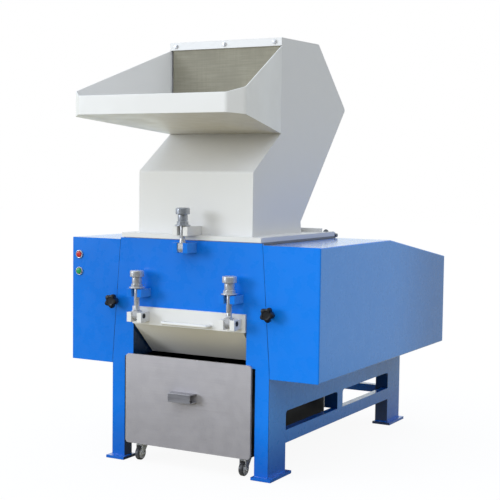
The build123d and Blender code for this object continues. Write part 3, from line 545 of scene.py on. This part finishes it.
def metalMaterial(name, s):
    material, tree, shader, coords = startMaterial(name)
    place, surface, wearAndHighlight, dust = startCoat(tree, coords, s)
    streak = useGroup(tree, "brushed", Vector=place, Stretch=s["stretch"])["Streak"]
    color = mixColor(tree, streak, s["color"], s["streak"])
    color = tint(tree, color, s["streak"], surface["Broad"], s["cloudShare"])
    if s["lowShade"] < 1:
        shade = tuple(channel * s["lowShade"] for channel in s["color"])
        down = rangeNode(tree, splitVector(tree, place)[2], *s["lowHeights"], s["lowShare"], 0.0)
        color = mixColor(tree, down, color, shade)
    # Lighter edges: partly wear, partly a painted highlight.
    color = mixColor(tree, wearAndHighlight["Mask"], color, s["edge"])
    color = tint(tree, color, s["dust"], dust["Mask"], s["dustShare"])
    tree.links.new(rangeNode(tree, surface["Middle"], 0.0, 1.0, *s["metallic"]), shader["Metallic"])
    rough = rangeNode(tree, streak, 0.0, 1.0, *s["gloss"])
    finishCoat(tree, shader, color, rough, streak, wearAndHighlight["Normal"], s)
    return material


# What the plastics and the rubber have in common.
plasticShared = {
    "coatRoughness": 0.12, "broadScale": 60.0, "middleScale": 200.0, "waveShare": 0.01, "bumpDistance": 0.004,
    "edgeRadius": 0.0008, "edgeScale": 150.0, "edgeShare": 0.5,
    "dust": (0.33, 0.32, 0.30), "dustReach": 0.05, "dustShare": 0.3, "coat": 0.0,
}
plasticSettings = {
    "blackKnob": {
        "color": (0.004, 0.004, 0.005), "cloud": (0.008, 0.008, 0.010), "edge": (0.06, 0.06, 0.065),
        "gloss": (0.32, 0.46), "peelScale": 900.0, "bump": 0.25},
    "redCap": {
        "color": (0.56, 0.022, 0.018), "cloud": (0.66, 0.05, 0.04), "edge": (0.8, 0.2, 0.15),
        "gloss": (0.18, 0.3), "peelScale": 300.0, "bump": 0.05, "coat": 0.6},
    "greenCap": {
        "color": (0.015, 0.27, 0.07), "cloud": (0.03, 0.36, 0.10), "edge": (0.2, 0.6, 0.25),
        "gloss": (0.18, 0.3), "peelScale": 300.0, "bump": 0.05, "coat": 0.6},
    "treadRubber": {
        "color": (0.045, 0.045, 0.05), "cloud": (0.08, 0.08, 0.085), "edge": (0.16, 0.16, 0.16),
        "gloss": (0.25, 0.4), "peelScale": 700.0, "bump": 0.3},
    "wheelHub": {
        "color": (0.66, 0.66, 0.67), "cloud": (0.76, 0.76, 0.77), "edge": (0.7, 0.7, 0.7),
        "gloss": (0.25, 0.4), "peelScale": 500.0, "bump": 0.1, "coat": 0.3},
}


def plasticMaterial(name, s):
    material, tree, shader, coords = startMaterial(name, Coat_Weight=s["coat"], Coat_Roughness=s["coatRoughness"])
    place, surface, wearAndHighlight, dust = startCoat(tree, coords, s)
    color = mixColor(tree, surface["Broad"], s["color"], s["cloud"])
    # Lighter edges: partly wear, partly a painted highlight.
    color = tint(tree, color, s["edge"], wearAndHighlight["Mask"], s["edgeShare"])
    color = tint(tree, color, s["dust"], dust["Mask"], s["dustShare"])
    rough = rangeNode(tree, surface["Middle"], 0.0, 1.0, *s["gloss"])
    finishCoat(tree, shader, color, rough, surface["Height"], wearAndHighlight["Normal"], s)
    return material


clothSettings = {
    "color": (0.28, 0.258, 0.185), "slub": (0.345, 0.32, 0.24), "pitch": 0.0024, "slubScale": 150.0,
    "shade": (0.22, 0.205, 0.15), "shadeScale": 9.0, "shadeDetail": 4.0, "shadeRange": (0.35, 0.7),
    "shadeShare": 0.5, "gapRange": (0.0, 0.35), "gapShare": 0.6,    # the gaps between threads are shaded too
    "bump": 0.5, "bumpDistance": 0.0006, "gloss": (0.7, 0.85), "sheen": 0.15, "sheenRoughness": 0.5,
}


def clothMaterial(name, s):
    material, tree, shader, _ = startMaterial(name, Sheen_Weight=s["sheen"], Sheen_Roughness=s["sheenRoughness"])
    flat = addNode(tree, "UVMap", uv_map="cloth").outputs[0]
    weave = useGroup(tree, "weave", Vector=flat, Pitch=s["pitch"], Slub=s["slubScale"])
    cloud = rangeNode(tree, noiseNode(tree, flat, s["shadeScale"], s["shadeDetail"]), *s["shadeRange"])
    color = mixColor(tree, weave["Slubs"], s["color"], s["slub"])
    color = tint(tree, color, s["shade"], cloud, s["shadeShare"])
    color = mixColor(tree, rangeNode(tree, weave["Height"], *s["gapRange"], s["gapShare"], 0.0), color, s["shade"])
    rough = rangeNode(tree, weave["Slubs"], 0.0, 1.0, *s["gloss"])
    finishCoat(tree, shader, color, rough, weave["Height"], None, s)
    return material


materials = {
    "blueFront": paintMaterial("blueFront", bluePaintSettings, seams=True, darkInside=True),
    "blueFrame": paintMaterial("blueFrame", bluePaintSettings, darkInside=True),
    "bluePaint": paintMaterial("bluePaint", bluePaintSettings),
    "whitePaint": paintMaterial("whitePaint", whitePaintSettings),
    "curtainCloth": clothMaterial("curtainCloth", clothSettings),
}
materials.update({name: metalMaterial(name, {**metalShared, **s}) for name, s in metalSettings.items()})
materials.update({name: plasticMaterial(name, {**plasticShared, **s}) for name, s in plasticSettings.items()})
materialOfSlot = {
    "blue_paint": "bluePaint", "white_paint": "whitePaint", "steel": "rolledSteel", "bin_steel": "binSheet",
    "zinc": "zincPlate", "black_plastic": "blackKnob", "wheel": "treadRubber", "curtain": "curtainCloth",
    "red_plastic": "redCap", "green_plastic": "greenCap", "bezel": "bezelChrome",
}
materialOfNode = {
    "front_plate": "blueFront", "left_housing": "blueFront", "right_housing": "blueFront",
    "left_side_frame": "blueFrame", "right_side_frame": "blueFrame", "foot_plates": "blueFrame",
    "bin_tub": "shadedTubSheet", "bin_handle": "handleSheet",
}
materialOfNode.update({name: "casterPlate" for name in nodes if name.endswith("_fork")})


def dress(piece, names):
    for slot, name in zip(piece.material_slots, names):
        slot.link = "OBJECT"
        slot.material = materials[name]


for name, piece in nodes.items():
    dress(piece, [materialOfNode.get(name, materialOfSlot[slotOf[name]])] * len(piece.material_slots))
print("materials made:", len(materials), "and given to", len(nodes), "nodes")

frontDepth = -470.0     # where the front plate lies in the frame, in millimetres


# Millimetres from the middle, the front plate and the floor become the frame's metres.
def toMetres(points):
    return (points + np.array((0.0, frontDepth, 0.0))) / 1000


# Soft corners: each inner point p gives way to a curve a(1-t)^2 + 2p t(1-t) + b t^2 between points a and b on
# its two legs, at the given reach or at a share of the shorter leg.
def softened(points, reach, steps=4, legShare=0.45):
    points = np.asarray(points, float)
    before, here, after = points[:-2], points[1:-1], points[2:]
    backLength = np.linalg.norm(before - here, axis=1)
    frontLength = np.linalg.norm(after - here, axis=1)
    cut = np.minimum(reach, legShare * np.minimum(backLength, frontLength))[:, None]
    start = here + (before - here) * cut / backLength[:, None]
    end = here + (after - here) * cut / frontLength[:, None]
    t = np.linspace(0, 1, steps + 1)[None, :, None]
    curve = start[:, None] * (1 - t) ** 2 + 2 * here[:, None] * t * (1 - t) + end[:, None] * t ** 2
    return np.concatenate((points[:1], curve.reshape(-1, points.shape[1]), points[-1:]))


# The same for a closed run: it is opened at the middle of its last leg and softened all the way round.
def softenedLoop(points, reach, steps=4):
    points = np.asarray(points, float)
    middle = (points[-1:] + points[:1]) / 2
    return softened(np.concatenate((middle, points, middle)), reach, steps)[:-1]


def fullTurn(sides):
    return np.arange(sides) * 2 * np.pi / sides


# Turned surface: each profile point (radius, height) is carried round the axis as (r cos a, r sin a, h), and a
# shape function may change the radius with the angle.
def turned(profile, centre, axis="z", sides=40, shape=None):
    profile = np.asarray(profile, float)
    angle = fullTurn(sides)[None, :]
    radius = profile[:, :1] + np.zeros_like(angle) if shape is None else shape(profile, angle)
    height = profile[:, 1:2] + np.zeros_like(angle)
    across, up = radius * np.cos(angle), radius * np.sin(angle)
    order = {"z": (across, up, height), "x": (height, across, up), "y": (up, height, across)}[axis]
    return np.stack(order, axis=-1) + np.asarray(centre, float)


# Shared radius: the third column is the share k of an outline in a row, k outline + (1 - k) r.
def sharedRadius(rows, outline):
    return rows[:, 2:3] * outline + (1 - rows[:, 2:3]) * rows[:, :1]


# Hexagon: f / (2 cos a) at each angle, cut off at the turned corners, and as far outside it as the row's radius
# exceeds the base radius.
def hexagonRows(rows, angle, flats, base, corner=0.96):
    turn = (angle + np.pi / 6) % (np.pi / 3) - np.pi / 6
    hexagon = np.minimum(flats / 2 / np.cos(turn), flats / math.sqrt(3) * corner)
    return sharedRadius(rows, hexagon + rows[:, :1] - base)


# Swept bar: a circle of the given radius in the plane across a level path, p + r (cos b n + sin b z).
def sweptLevel(path, radius, sides=16):
    path = np.asarray(path, float)
    along = np.gradient(path, axis=0)
    along /= np.linalg.norm(along, axis=1, keepdims=True)
    side = np.cross(along, (0.0, 0.0, 1.0))
    angle = fullTurn(sides)[None, :, None]
    ring = radius * (np.cos(angle) * side[:, None] + np.sin(angle) * np.array((0.0, 0.0, 1.0)))
    return np.concatenate((path[:1, None] + 0 * ring[:1], path[:, None] + ring, path[-1:, None] + 0 * ring[:1]))


# Faces of a grid: each cell joins four neighbours, and a closed direction wraps round to its start.
def gridFaces(rows, columns, closedRows, closedColumns):
    i = np.arange(rows if closedRows else rows - 1)
    j = np.arange(columns if closedColumns else columns - 1)
    a, b = (part.ravel() for part in np.meshgrid(i, j, indexing="ij"))
    c, d = (a + 1) % rows, (b + 1) % columns
    return np.stack((a * columns + b, a * columns + d, c * columns + d, c * columns + b), axis=-1)


def readMesh(part, key, size, kind=float):
    values = np.empty(len(part) * size, kind)
    part.foreach_get(key, values)
    return values


meshSettings = {"mergeWithin": 2e-6, "thinnest": 1e-7}    # metres


def addPiece(name, grids, body, materialNames, replaced=(), sharp=32.0, closedRows=False,
             faceMaterial=None):
    points, faces, start = [], [], 0
    for grid in grids:
        rows, columns = grid.shape[:2]
        points.append(toMetres(grid).reshape(-1, 3))
        faces.append(gridFaces(rows, columns, closedRows, True) + start)
        start += rows * columns
    mesh = bpy.data.meshes.new(name)
    mesh.from_pydata(np.concatenate(points).tolist(), [], np.concatenate(faces).tolist())
    work = bmesh.new()
    work.from_mesh(mesh)
    bmesh.ops.remove_doubles(work, verts=work.verts, dist=meshSettings["mergeWithin"])
    bmesh.ops.dissolve_degenerate(work, edges=work.edges, dist=meshSettings["thinnest"])
    bmesh.ops.recalc_face_normals(work, faces=work.faces)
    work.to_mesh(mesh)
    work.free()
    mesh.polygons.foreach_set("use_smooth", np.ones(len(mesh.polygons), bool))
    mesh.set_sharp_from_angle(angle=math.radians(sharp))
    piece = bpy.data.objects.new(name, mesh)
    scene.collection.objects.link(piece)
    for materialName in materialNames:
        mesh.materials.append(materials[materialName])
    dress(piece, materialNames)
    if faceMaterial is not None:
        centres = readMesh(mesh.polygons, "center", 3).reshape(-1, 3) * 1000
        mesh.polygons.foreach_set("material_index", faceMaterial(centres).astype(np.int32))
    mesh.update()
    if body:
        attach(piece, body)
    if replaced:
        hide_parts(*replaced)
    return piece


handNutSettings = {
    "axisDepth": -43.0, "bore": 9.35, "boreDepth": 34.0, "washerRadius": 27.0, "washer": 4.0,
    "footRadius": 20.0, "footFlats": 36.0, "foot": 15.0, "neckRadius": 17.2, "neckTop": 39.0, "grooveDepth": 1.6,
    "capRadius": 24.6, "crownRadius": 9.0, "top": 62.0, "flutes": 18, "fluteDepth": 0.55, "flutePower": 0.7,
    "places": {"left": (-186.0, 624.4), "right": (186.0, 624.4), "top": (0.0, 847.4)},
}


# Hand nut: washer, hexagon foot, grooved neck and a cap whose radius dips by d (1 - |sin(n a / 2)|^p) at its
# flutes. Profile columns: radius, height, share of the hexagon, share of the flutes, reach of the corner.
def handNut(side, s):
    foot, neckTop, top = s["foot"], s["neckTop"], s["top"]
    base, neck, cap = s["footRadius"], s["neckRadius"], s["capRadius"]
    groove = neck - s["grooveDepth"]
    profile = np.array((
        (0, s["boreDepth"], 0, 0, 0), (s["bore"], s["boreDepth"], 0, 0, 0.3), (s["bore"], 0, 0, 0, 0.3),
        (s["washerRadius"], 0, 0, 0, 0.5), (s["washerRadius"], s["washer"] - 0.4, 0, 0, 0.8),
        (base + 0.4, s["washer"], 0, 0, 0.3), (base, s["washer"] + 0.5, 1, 0, 0.3), (base, foot - 1.2, 1, 0, 0.5),
        (base - 1.2, foot, 0.2, 0, 0.4), (groove, foot + 0.4, 0, 0, 0.3), (groove, foot + 2.0, 0, 0, 0.3),
        (neck, foot + 3.0, 0, 0, 0.4), (neck, neckTop - 2.6, 0, 0, 0.4), (groove, neckTop - 1.6, 0, 0, 0.3),
        (groove, neckTop, 0, 0, 0.3), (cap - 1.2, neckTop + 0.4, 0, 0, 0.4), (cap, neckTop + 1.8, 0, 1, 0.5),
        (cap, top - 3.6, 0, 1, 1.2), (cap - 3.0, top - 0.6, 0, 0, 1.2), (s["crownRadius"], top, 0, 0, 1.0),
        (0, top - 0.5, 0, 0, 0)))

    def shape(rows, angle):
        dip = s["fluteDepth"] * (1 - np.abs(np.sin(angle * s["flutes"] / 2)) ** s["flutePower"])
        return hexagonRows(rows, angle, s["footFlats"], base) - rows[:, 3:4] * dip

    x, low = s["places"][side]
    grid = turned(softened(profile[:, :4], profile[1:-1, 4], 3), (x, s["axisDepth"], low), "z", 72, shape)
    # The top nut takes the darker copy of the zinc, painted shade.
    coat = "shadedZinc" if side == "top" else "zincPlate"
    addPiece(f"{side}_hand_nut", [grid], f"{side}_nut", [coat], [f"{side}_nut"])


for side in handNutSettings["places"]:
    handNut(side, handNutSettings)
print("hand nuts made")

boltSleeveSettings = {
    "axisDepth": -43.0, "radius": 9.8, "shoulder": 11.4, "from": 18.5, "shoulderTop": 22.0, "slope": 2.0,
    "groove": (34.0, 37.0), "grooveDepth": 0.6, "grooveSlope": 0.5, "chamfer": 0.8,
    "places": {"left": (-186.0, 528.0, 96.2), "right": (186.0, 528.0, 96.2), "top": (0.0, 770.0, 77.2)},
}


# Sleeve on each swing bolt: a turned profile with a shoulder over the eye and one shallow groove.
def boltSleeve(side, s):
    x, pivot, top = s["places"][side]
    low, high = s["groove"]
    radius, shoulder = s["radius"], s["shoulder"]
    groove = radius - s["grooveDepth"]
    profile = (
        (0, s["from"]), (shoulder, s["from"]), (shoulder, s["shoulderTop"]), (radius, s["shoulderTop"] + s["slope"]),
        (radius, low), (groove, low + s["grooveSlope"]), (groove, high - s["grooveSlope"]), (radius, high),
        (radius, top - s["chamfer"]), (radius - s["chamfer"], top), (0, top))
    grid = turned(softened(profile, 0.5, 2), (x, s["axisDepth"], pivot), "z", 48)
    addPiece(f"{side}_bolt_sleeve", [grid], f"{side}_bolt", ["zincPlate"])


for side in boltSleeveSettings["places"]:
    boltSleeve(side, boltSleeveSettings)
print("bolt sleeves made")

starKnobSettings = {
    "lobes": 5, "turn": 97.0, "outer": 26.3, "valley": 19.0, "sharpness": 0.75, "middle": 16.0,
    "front": -40.0, "back": -22.0, "neck": 10.0, "plate": -0.3, "dish": 12.0,
    "places": {"left": (-304.0, 570.0), "right": (323.0, 564.0)},
}


# Star: the radius swings between valley and lobe as ((1 + cos n a) / 2)^k. Profile columns: radius, depth, share
# of the star, how far the row lies inside the outline.
def starKnob(side, s):
    front, back, middle = s["front"], s["back"], s["middle"]
    profile = (
        (0, s["plate"], 0, 0), (s["neck"], s["plate"], 0, 0), (s["neck"], back - 0.5, 0, 0),
        (middle, back, 1, 4.0), (middle, back - 1.0, 1, 0.8), (middle, back - 4.0, 1, 0),
        (middle, front + 4.5, 1, 0), (middle, front + 1.2, 1, 1.4), (middle, front + 0.2, 1, 4.6),
        (s["dish"] + 1.2, front, 0, 0), (s["dish"], front + 1.0, 0, 0), (0, front + 0.4, 0, 0))

    def shape(rows, angle):
        swing = ((1 + np.cos(s["lobes"] * (angle - math.radians(s["turn"])))) / 2) ** s["sharpness"]
        return sharedRadius(rows, s["valley"] + (s["outer"] - s["valley"]) * swing - rows[:, 3:4])

    x, z = s["places"][side]
    grid = turned(softened(profile, 1.2, 3), (x, 0, z), "y", 120, shape)
    addPiece(f"{side}_star_knob", [grid], f"{side}_knob", ["blackKnob"], [f"{side}_knob"])


for side in starKnobSettings["places"]:
    starKnob(side, starKnobSettings)
print("star knobs made")

buttonSettings = {
    "x": -467.0, "heights": {"red": 728.0, "green": 667.0},
    "capRadius": 10.4, "capBack": -3.3, "capEdge": -6.9, "capFront": -8.0, "domeReach": 0.86, "domeRise": 0.35,
    "ringOuter": 15.0, "ringInner": 11.1, "ringBack": -0.1, "ringFront": -6.0,
}


# Push button: a disc with a shallow dome, f + k (e - f) (1 - t)^2 with t running to the middle, and a turned ring.
def pushButtons(s):
    t = np.linspace(0, 1, 7)
    rise = s["capFront"] + (s["capEdge"] - s["capFront"]) * s["domeRise"] * (1 - t) ** 2
    dome = np.column_stack((s["capRadius"] * s["domeReach"] * (1 - t), rise))
    edge = ((0, s["capBack"]), (s["capRadius"], s["capBack"]), (s["capRadius"], s["capEdge"]))
    cap = softened(np.concatenate((edge, dome)), 0.9, 3)
    inner, outer, front = s["ringInner"], s["ringOuter"], s["ringFront"]
    ring = softenedLoop((
        (inner, s["ringBack"]), (outer, s["ringBack"]), (outer, front + 2.2), (outer - 1.3, front),
        (inner + 1.1, front + 0.3), (inner, front + 1.6)), 0.7, 3)
    rings = []
    for color, z in s["heights"].items():
        addPiece(f"{color}_push_cap", [turned(cap, (s["x"], 0, z), "y", 48)], f"{color}_button",
                 [f"{color}Cap"], [f"{color}_button"])
        rings.append(turned(ring, (s["x"], 0, z), "y", 64))
    addPiece("button_rings", rings, "machine", ["bezelChrome"], ["button_bezels"], closedRows=True)


pushButtons(buttonSettings)
print("push buttons made")

wheelSettings = {
    "radius": 25.0, "half": 8.8, "bore": 4.3, "treadFrom": 19.4, "z": 25.0,
    "hub": 8.5, "dish": (10.0, 17.6), "dishDepth": 2.6, "rim": (19.0, 0.4), "tread": (22.2, 0.2), "shoulder": 3.4,
    "places": {"front_left": (-212.0, 24.0), "front_right": (212.0, 24.0),
               "rear_left": (-66.0, 522.0), "rear_right": (66.0, 522.0)},
}


# Caster wheel: half a section (radius, width) is mirrored into a closed loop and turned about the axle.
def casterWheel(where, s):
    width, dish = s["half"], s["half"] - s["dishDepth"]
    (rim, rimInset), (tread, treadInset) = s["rim"], s["tread"]
    half = np.array((
        (s["bore"], width), (s["hub"], width), (s["dish"][0], dish), (s["dish"][1], dish), (rim, width - rimInset),
        (tread, width - treadInset), (s["radius"], width - s["shoulder"])))
    loop = softenedLoop(np.concatenate((half, half[::-1] * (1, -1))), 1.1, 3)
    x, depth = s["places"][where]
    centre = np.array((x, depth + frontDepth, s["z"]))

    def rubber(points):
        return np.linalg.norm((points - centre)[:, 1:], axis=1) > s["treadFrom"]

    addPiece(f"{where}_caster_wheel", [turned(loop, (x, depth, s["z"]), "x", 64)], f"{where}_wheel",
             ["wheelHub", "treadRubber"], [f"{where}_wheel"], closedRows=True, faceMaterial=rubber)


for where in wheelSettings["places"]:
    casterWheel(where, wheelSettings)
print("caster wheels made")

gripSettings = {"half": 91.0, "splay": 3.0, "depth": -30.0, "plate": -6.0, "z": 507.0, "radius": 6.0, "bend": 17.0}


# Cradle grip: a round bar swept along a bracket whose legs splay a little towards the plate.
def cradleGrip(s):
    half, foot = s["half"], s["half"] + s["splay"]
    corners = ((-foot, s["plate"], s["z"]), (-half, s["depth"], s["z"]), (half, s["depth"], s["z"]),
               (foot, s["plate"], s["z"]))
    grid = sweptLevel(softened(corners, s["bend"], 9), s["radius"], 20)
    addPiece("cradle_grip", [grid], "machine", ["whitePaint"], ["cradle_handle"])


cradleGrip(gripSettings)
print("cradle grip made")

stripScrewSettings = {
    "places": (-203.0, 0.0, 203.0), "z": 1486.0, "plate": 225.0, "washerRadius": 8.0, "washer": 1.3,
    "headRadius": 7.2, "flats": 13.0, "top": 6.0, "turn": 0.2,
}


# Hexagon screw on a washer, along the depth: a turned profile whose head has six flats.
def stripScrews(s):
    head, top = s["headRadius"], s["top"]
    profile = (
        (0, 0, 0), (s["washerRadius"], 0, 0), (s["washerRadius"], s["washer"], 0), (head, s["washer"], 0),
        (head, s["washer"] + 0.2, 1), (head, top - 0.9, 1), (head - 1.0, top, 0.5), (0, top, 0))

    def shape(rows, angle):
        return hexagonRows(rows, angle + s["turn"], s["flats"], head)

    rows = softened(profile, 0.3, 2)
    rows[:, 1] *= -1
    grids = [turned(rows, (x, s["plate"], s["z"]), "y", 48, shape) for x in s["places"]]
    addPiece("strip_screws", grids, "machine", ["zincPlate"], ["strip_bolts"])


stripScrews(stripScrewSettings)

flangeNutSettings = {
    "places": ((-257.0, 553.0), (257.0, 553.0)), "z": 813.9, "washerRadius": 10.0, "washer": 1.6,
    "nutRadius": 9.0, "flats": 16.0, "top": 6.5, "stud": 4.6, "studTop": 9.0, "chamfer": 0.8,
}


# Nut on a washer with a stud through it: one turned profile, with six flats between washer and top.
def flangeNuts(s):
    nut, washer, top, stud, studTop = (s[key] for key in ("nutRadius", "washer", "top", "stud", "studTop"))
    profile = (
        (0, 0, 0), (s["washerRadius"], 0, 0), (s["washerRadius"], washer, 0), (nut, washer + 0.1, 0),
        (nut, washer + 0.3, 1), (nut, top - 1.2, 1), (nut - 1.0, top, 0.4), (stud, top, 0),
        (stud, studTop - s["chamfer"], 0), (stud - s["chamfer"], studTop, 0), (0, studTop, 0))

    def shape(rows, angle):
        return hexagonRows(rows, angle, s["flats"], nut)

    grids = [turned(softened(profile, 0.3, 2), (x, depth, s["z"]), "z", 48, shape) for x, depth in s["places"]]
    addPiece("flange_nuts", grids, "machine", ["rolledSteel"])


flangeNuts(flangeNutSettings)
print("screws and flange nuts made")

pinSettings = {
    "depth": -43.0, "root": -0.5, "proud": 1.4, "outer": 8.4, "inner": 5.2, "slope": 0.4, "sunk": 0.6,
    "z": 528.0, "faces": ((-156.0, 1), (-216.0, -1), (216.0, 1), (156.0, -1)),    # each with the way it looks
}


# Pin end: a turned head with a sunken middle, on both outer faces of each pair of ears.
def pinEnds(s):
    profile = softened((
        (0, s["root"]), (s["outer"], s["root"]), (s["outer"], s["proud"]), (s["inner"], s["proud"]),
        (s["inner"] - s["slope"], s["sunk"]), (0, s["sunk"])), 0.35, 2)
    grids = [turned(profile * (1, way), (x, s["depth"], s["z"]), "x", 40) for x, way in s["faces"]]
    addPiece("pin_ends", grids, "machine", ["darkPin"])


pinEnds(pinSettings)

beadSettings = {"radius": 2.4, "ripple": 0.14, "pitch": 4.5, "step": 1.1, "across": (0.3, 0.5, 0.81)}


# Weld bead: a ring along a straight run whose radius ripples as r (1 + k cos(2 pi s / pitch)) and closes at the
# ends. The settings' across is a direction that no run follows.
def beadRun(start, end, s, sides=8):
    start, end = np.asarray(start, float), np.asarray(end, float)
    length = np.linalg.norm(end - start)
    t = np.linspace(0, 1, max(int(length / s["step"]), 8))
    along = (end - start) / length
    first = np.cross(along, s["across"])
    first /= np.linalg.norm(first)
    second = np.cross(along, first)
    ends = np.sqrt(np.clip(1 - np.abs(2 * t - 1) ** (length / s["radius"]), 0, 1))
    radius = s["radius"] * (1 + s["ripple"] * np.cos(2 * np.pi * t * length / s["pitch"])) * ends
    angle = fullTurn(sides)[None, :, None]
    ring = np.cos(angle) * first + np.sin(angle) * second
    return start + t[:, None, None] * (end - start) + radius[:, None, None] * ring


def beadRuns(corners, s):
    return [beadRun((*a, s["z"]), (*b, s["z"]), s) for a, b in zip(corners[:-1], corners[1:])]


# All the way round the hopper's foot.
hopperBeads = {
    **beadSettings, "z": 814.0,
    "corners": ((-230.0, 32.0), (230.0, 32.0), (230.0, 356.0), (-230.0, 356.0), (-230.0, 32.0)),
}
addPiece("hopper_beads", beadRuns(hopperBeads["corners"], hopperBeads), "machine",
         ["whitePaint"], sharp=70.0)

footBeadSettings = {
    **beadSettings, "radius": 3.2, "z": 10.0, "outer": 318.0, "inner": 265.0, "fold": 46.0,
    "frontDepth": {"left": 46.0, "right": 126.0}, "rear": (1046.0, 1176.0),
}


# The beads follow each leg's outside: front, outer side and rear, and the front legs' inner fold too.
def footBeads(s):
    runs = []
    for side, sign in (("left", -1), ("right", 1)):
        outer, inner, depth = sign * s["outer"], sign * s["inner"], s["frontDepth"][side]
        front = ((inner, s["fold"]), (inner, 0.0), (outer, 0.0), (outer, depth), (inner, depth))
        rear = ((inner, s["rear"][0]), (outer, s["rear"][0]), (outer, s["rear"][1]), (inner, s["rear"][1]))
        runs += beadRuns(front, s) + beadRuns(rear, s)
    addPiece("foot_beads", runs, "machine", ["bluePaint"], sharp=70.0)


footBeads(footBeadSettings)
print("pin ends and weld beads made")

curtainSettings = {
    "half": 220.0, "top": 1496.0, "bottom": 1190.0, "hangFrom": 1472.0, "depth": 231.0, "thick": 2.4,
    "fold": 3.2, "foldPower": 1.4, "curl": 1.6, "curlPower": 6, "columns": 150, "rows": 90,
    "waves": ((0.55, 47.0, 0.6, 0.0), (0.3, 21.0, 2.1, 1.3), (0.25, 83.0, -1.0, 0.0)),
    "sideShare": 0.35, "endShare": 0.6,    # how much of the half thickness the edges keep
}


# Hung cloth: flat under the strip, it leaves the plane below as fold h^p (1 + waves) + curl h^q, with h the hung
# share of its length and each wave a sin(x / l + b + c h). Rows run along the front and back along the rear.
def curtainCloth(s):
    x = np.linspace(-s["half"], s["half"], s["columns"])
    z = np.linspace(s["top"], s["bottom"], s["rows"])
    across, height = np.meshgrid(x, z)
    hung = np.clip((s["hangFrom"] - height) / (s["hangFrom"] - s["bottom"]), 0, 1)
    waves = sum(a * np.sin(across / length + b + c * hung) for a, length, b, c in s["waves"])
    bend = s["fold"] * hung ** s["foldPower"] * (1 + waves) + s["curl"] * hung ** s["curlPower"]
    middle = s["depth"] + bend
    half = s["thick"] / 2
    edge = np.ones(s["columns"])
    edge[[0, -1]] = s["sideShare"]
    front = np.stack((across, middle - half * edge, height), axis=-1)
    back = np.stack((across, middle + half * edge, height), axis=-1)[:, ::-1]
    loop = np.concatenate((front, back), axis=1)
    flatRow = np.stack((across, middle, height), axis=-1)
    closing = np.concatenate((flatRow, flatRow[:, ::-1]), axis=1)
    lift = np.array((0, 0, half)) * s["endShare"]
    grid = np.concatenate((closing[:1] + lift, loop, closing[-1:] - lift))
    cloth = addPiece("hanging_curtain", [grid], None, ["curtainCloth"], ["curtain", "curtain_head"],
                     sharp=80.0)
    mesh = cloth.data
    corners = readMesh(mesh.loops, "vertex_index", 1, np.int32)
    places = readMesh(mesh.vertices, "co", 3).reshape(-1, 3)[corners]
    flat = places[:, (0, 2)] + (s["half"] / 1000, -s["bottom"] / 1000)
    mesh.uv_layers.new(name="cloth").data.foreach_set("uv", flat.ravel())
    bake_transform(cloth)


curtainCloth(curtainSettings)
print("curtain hung")
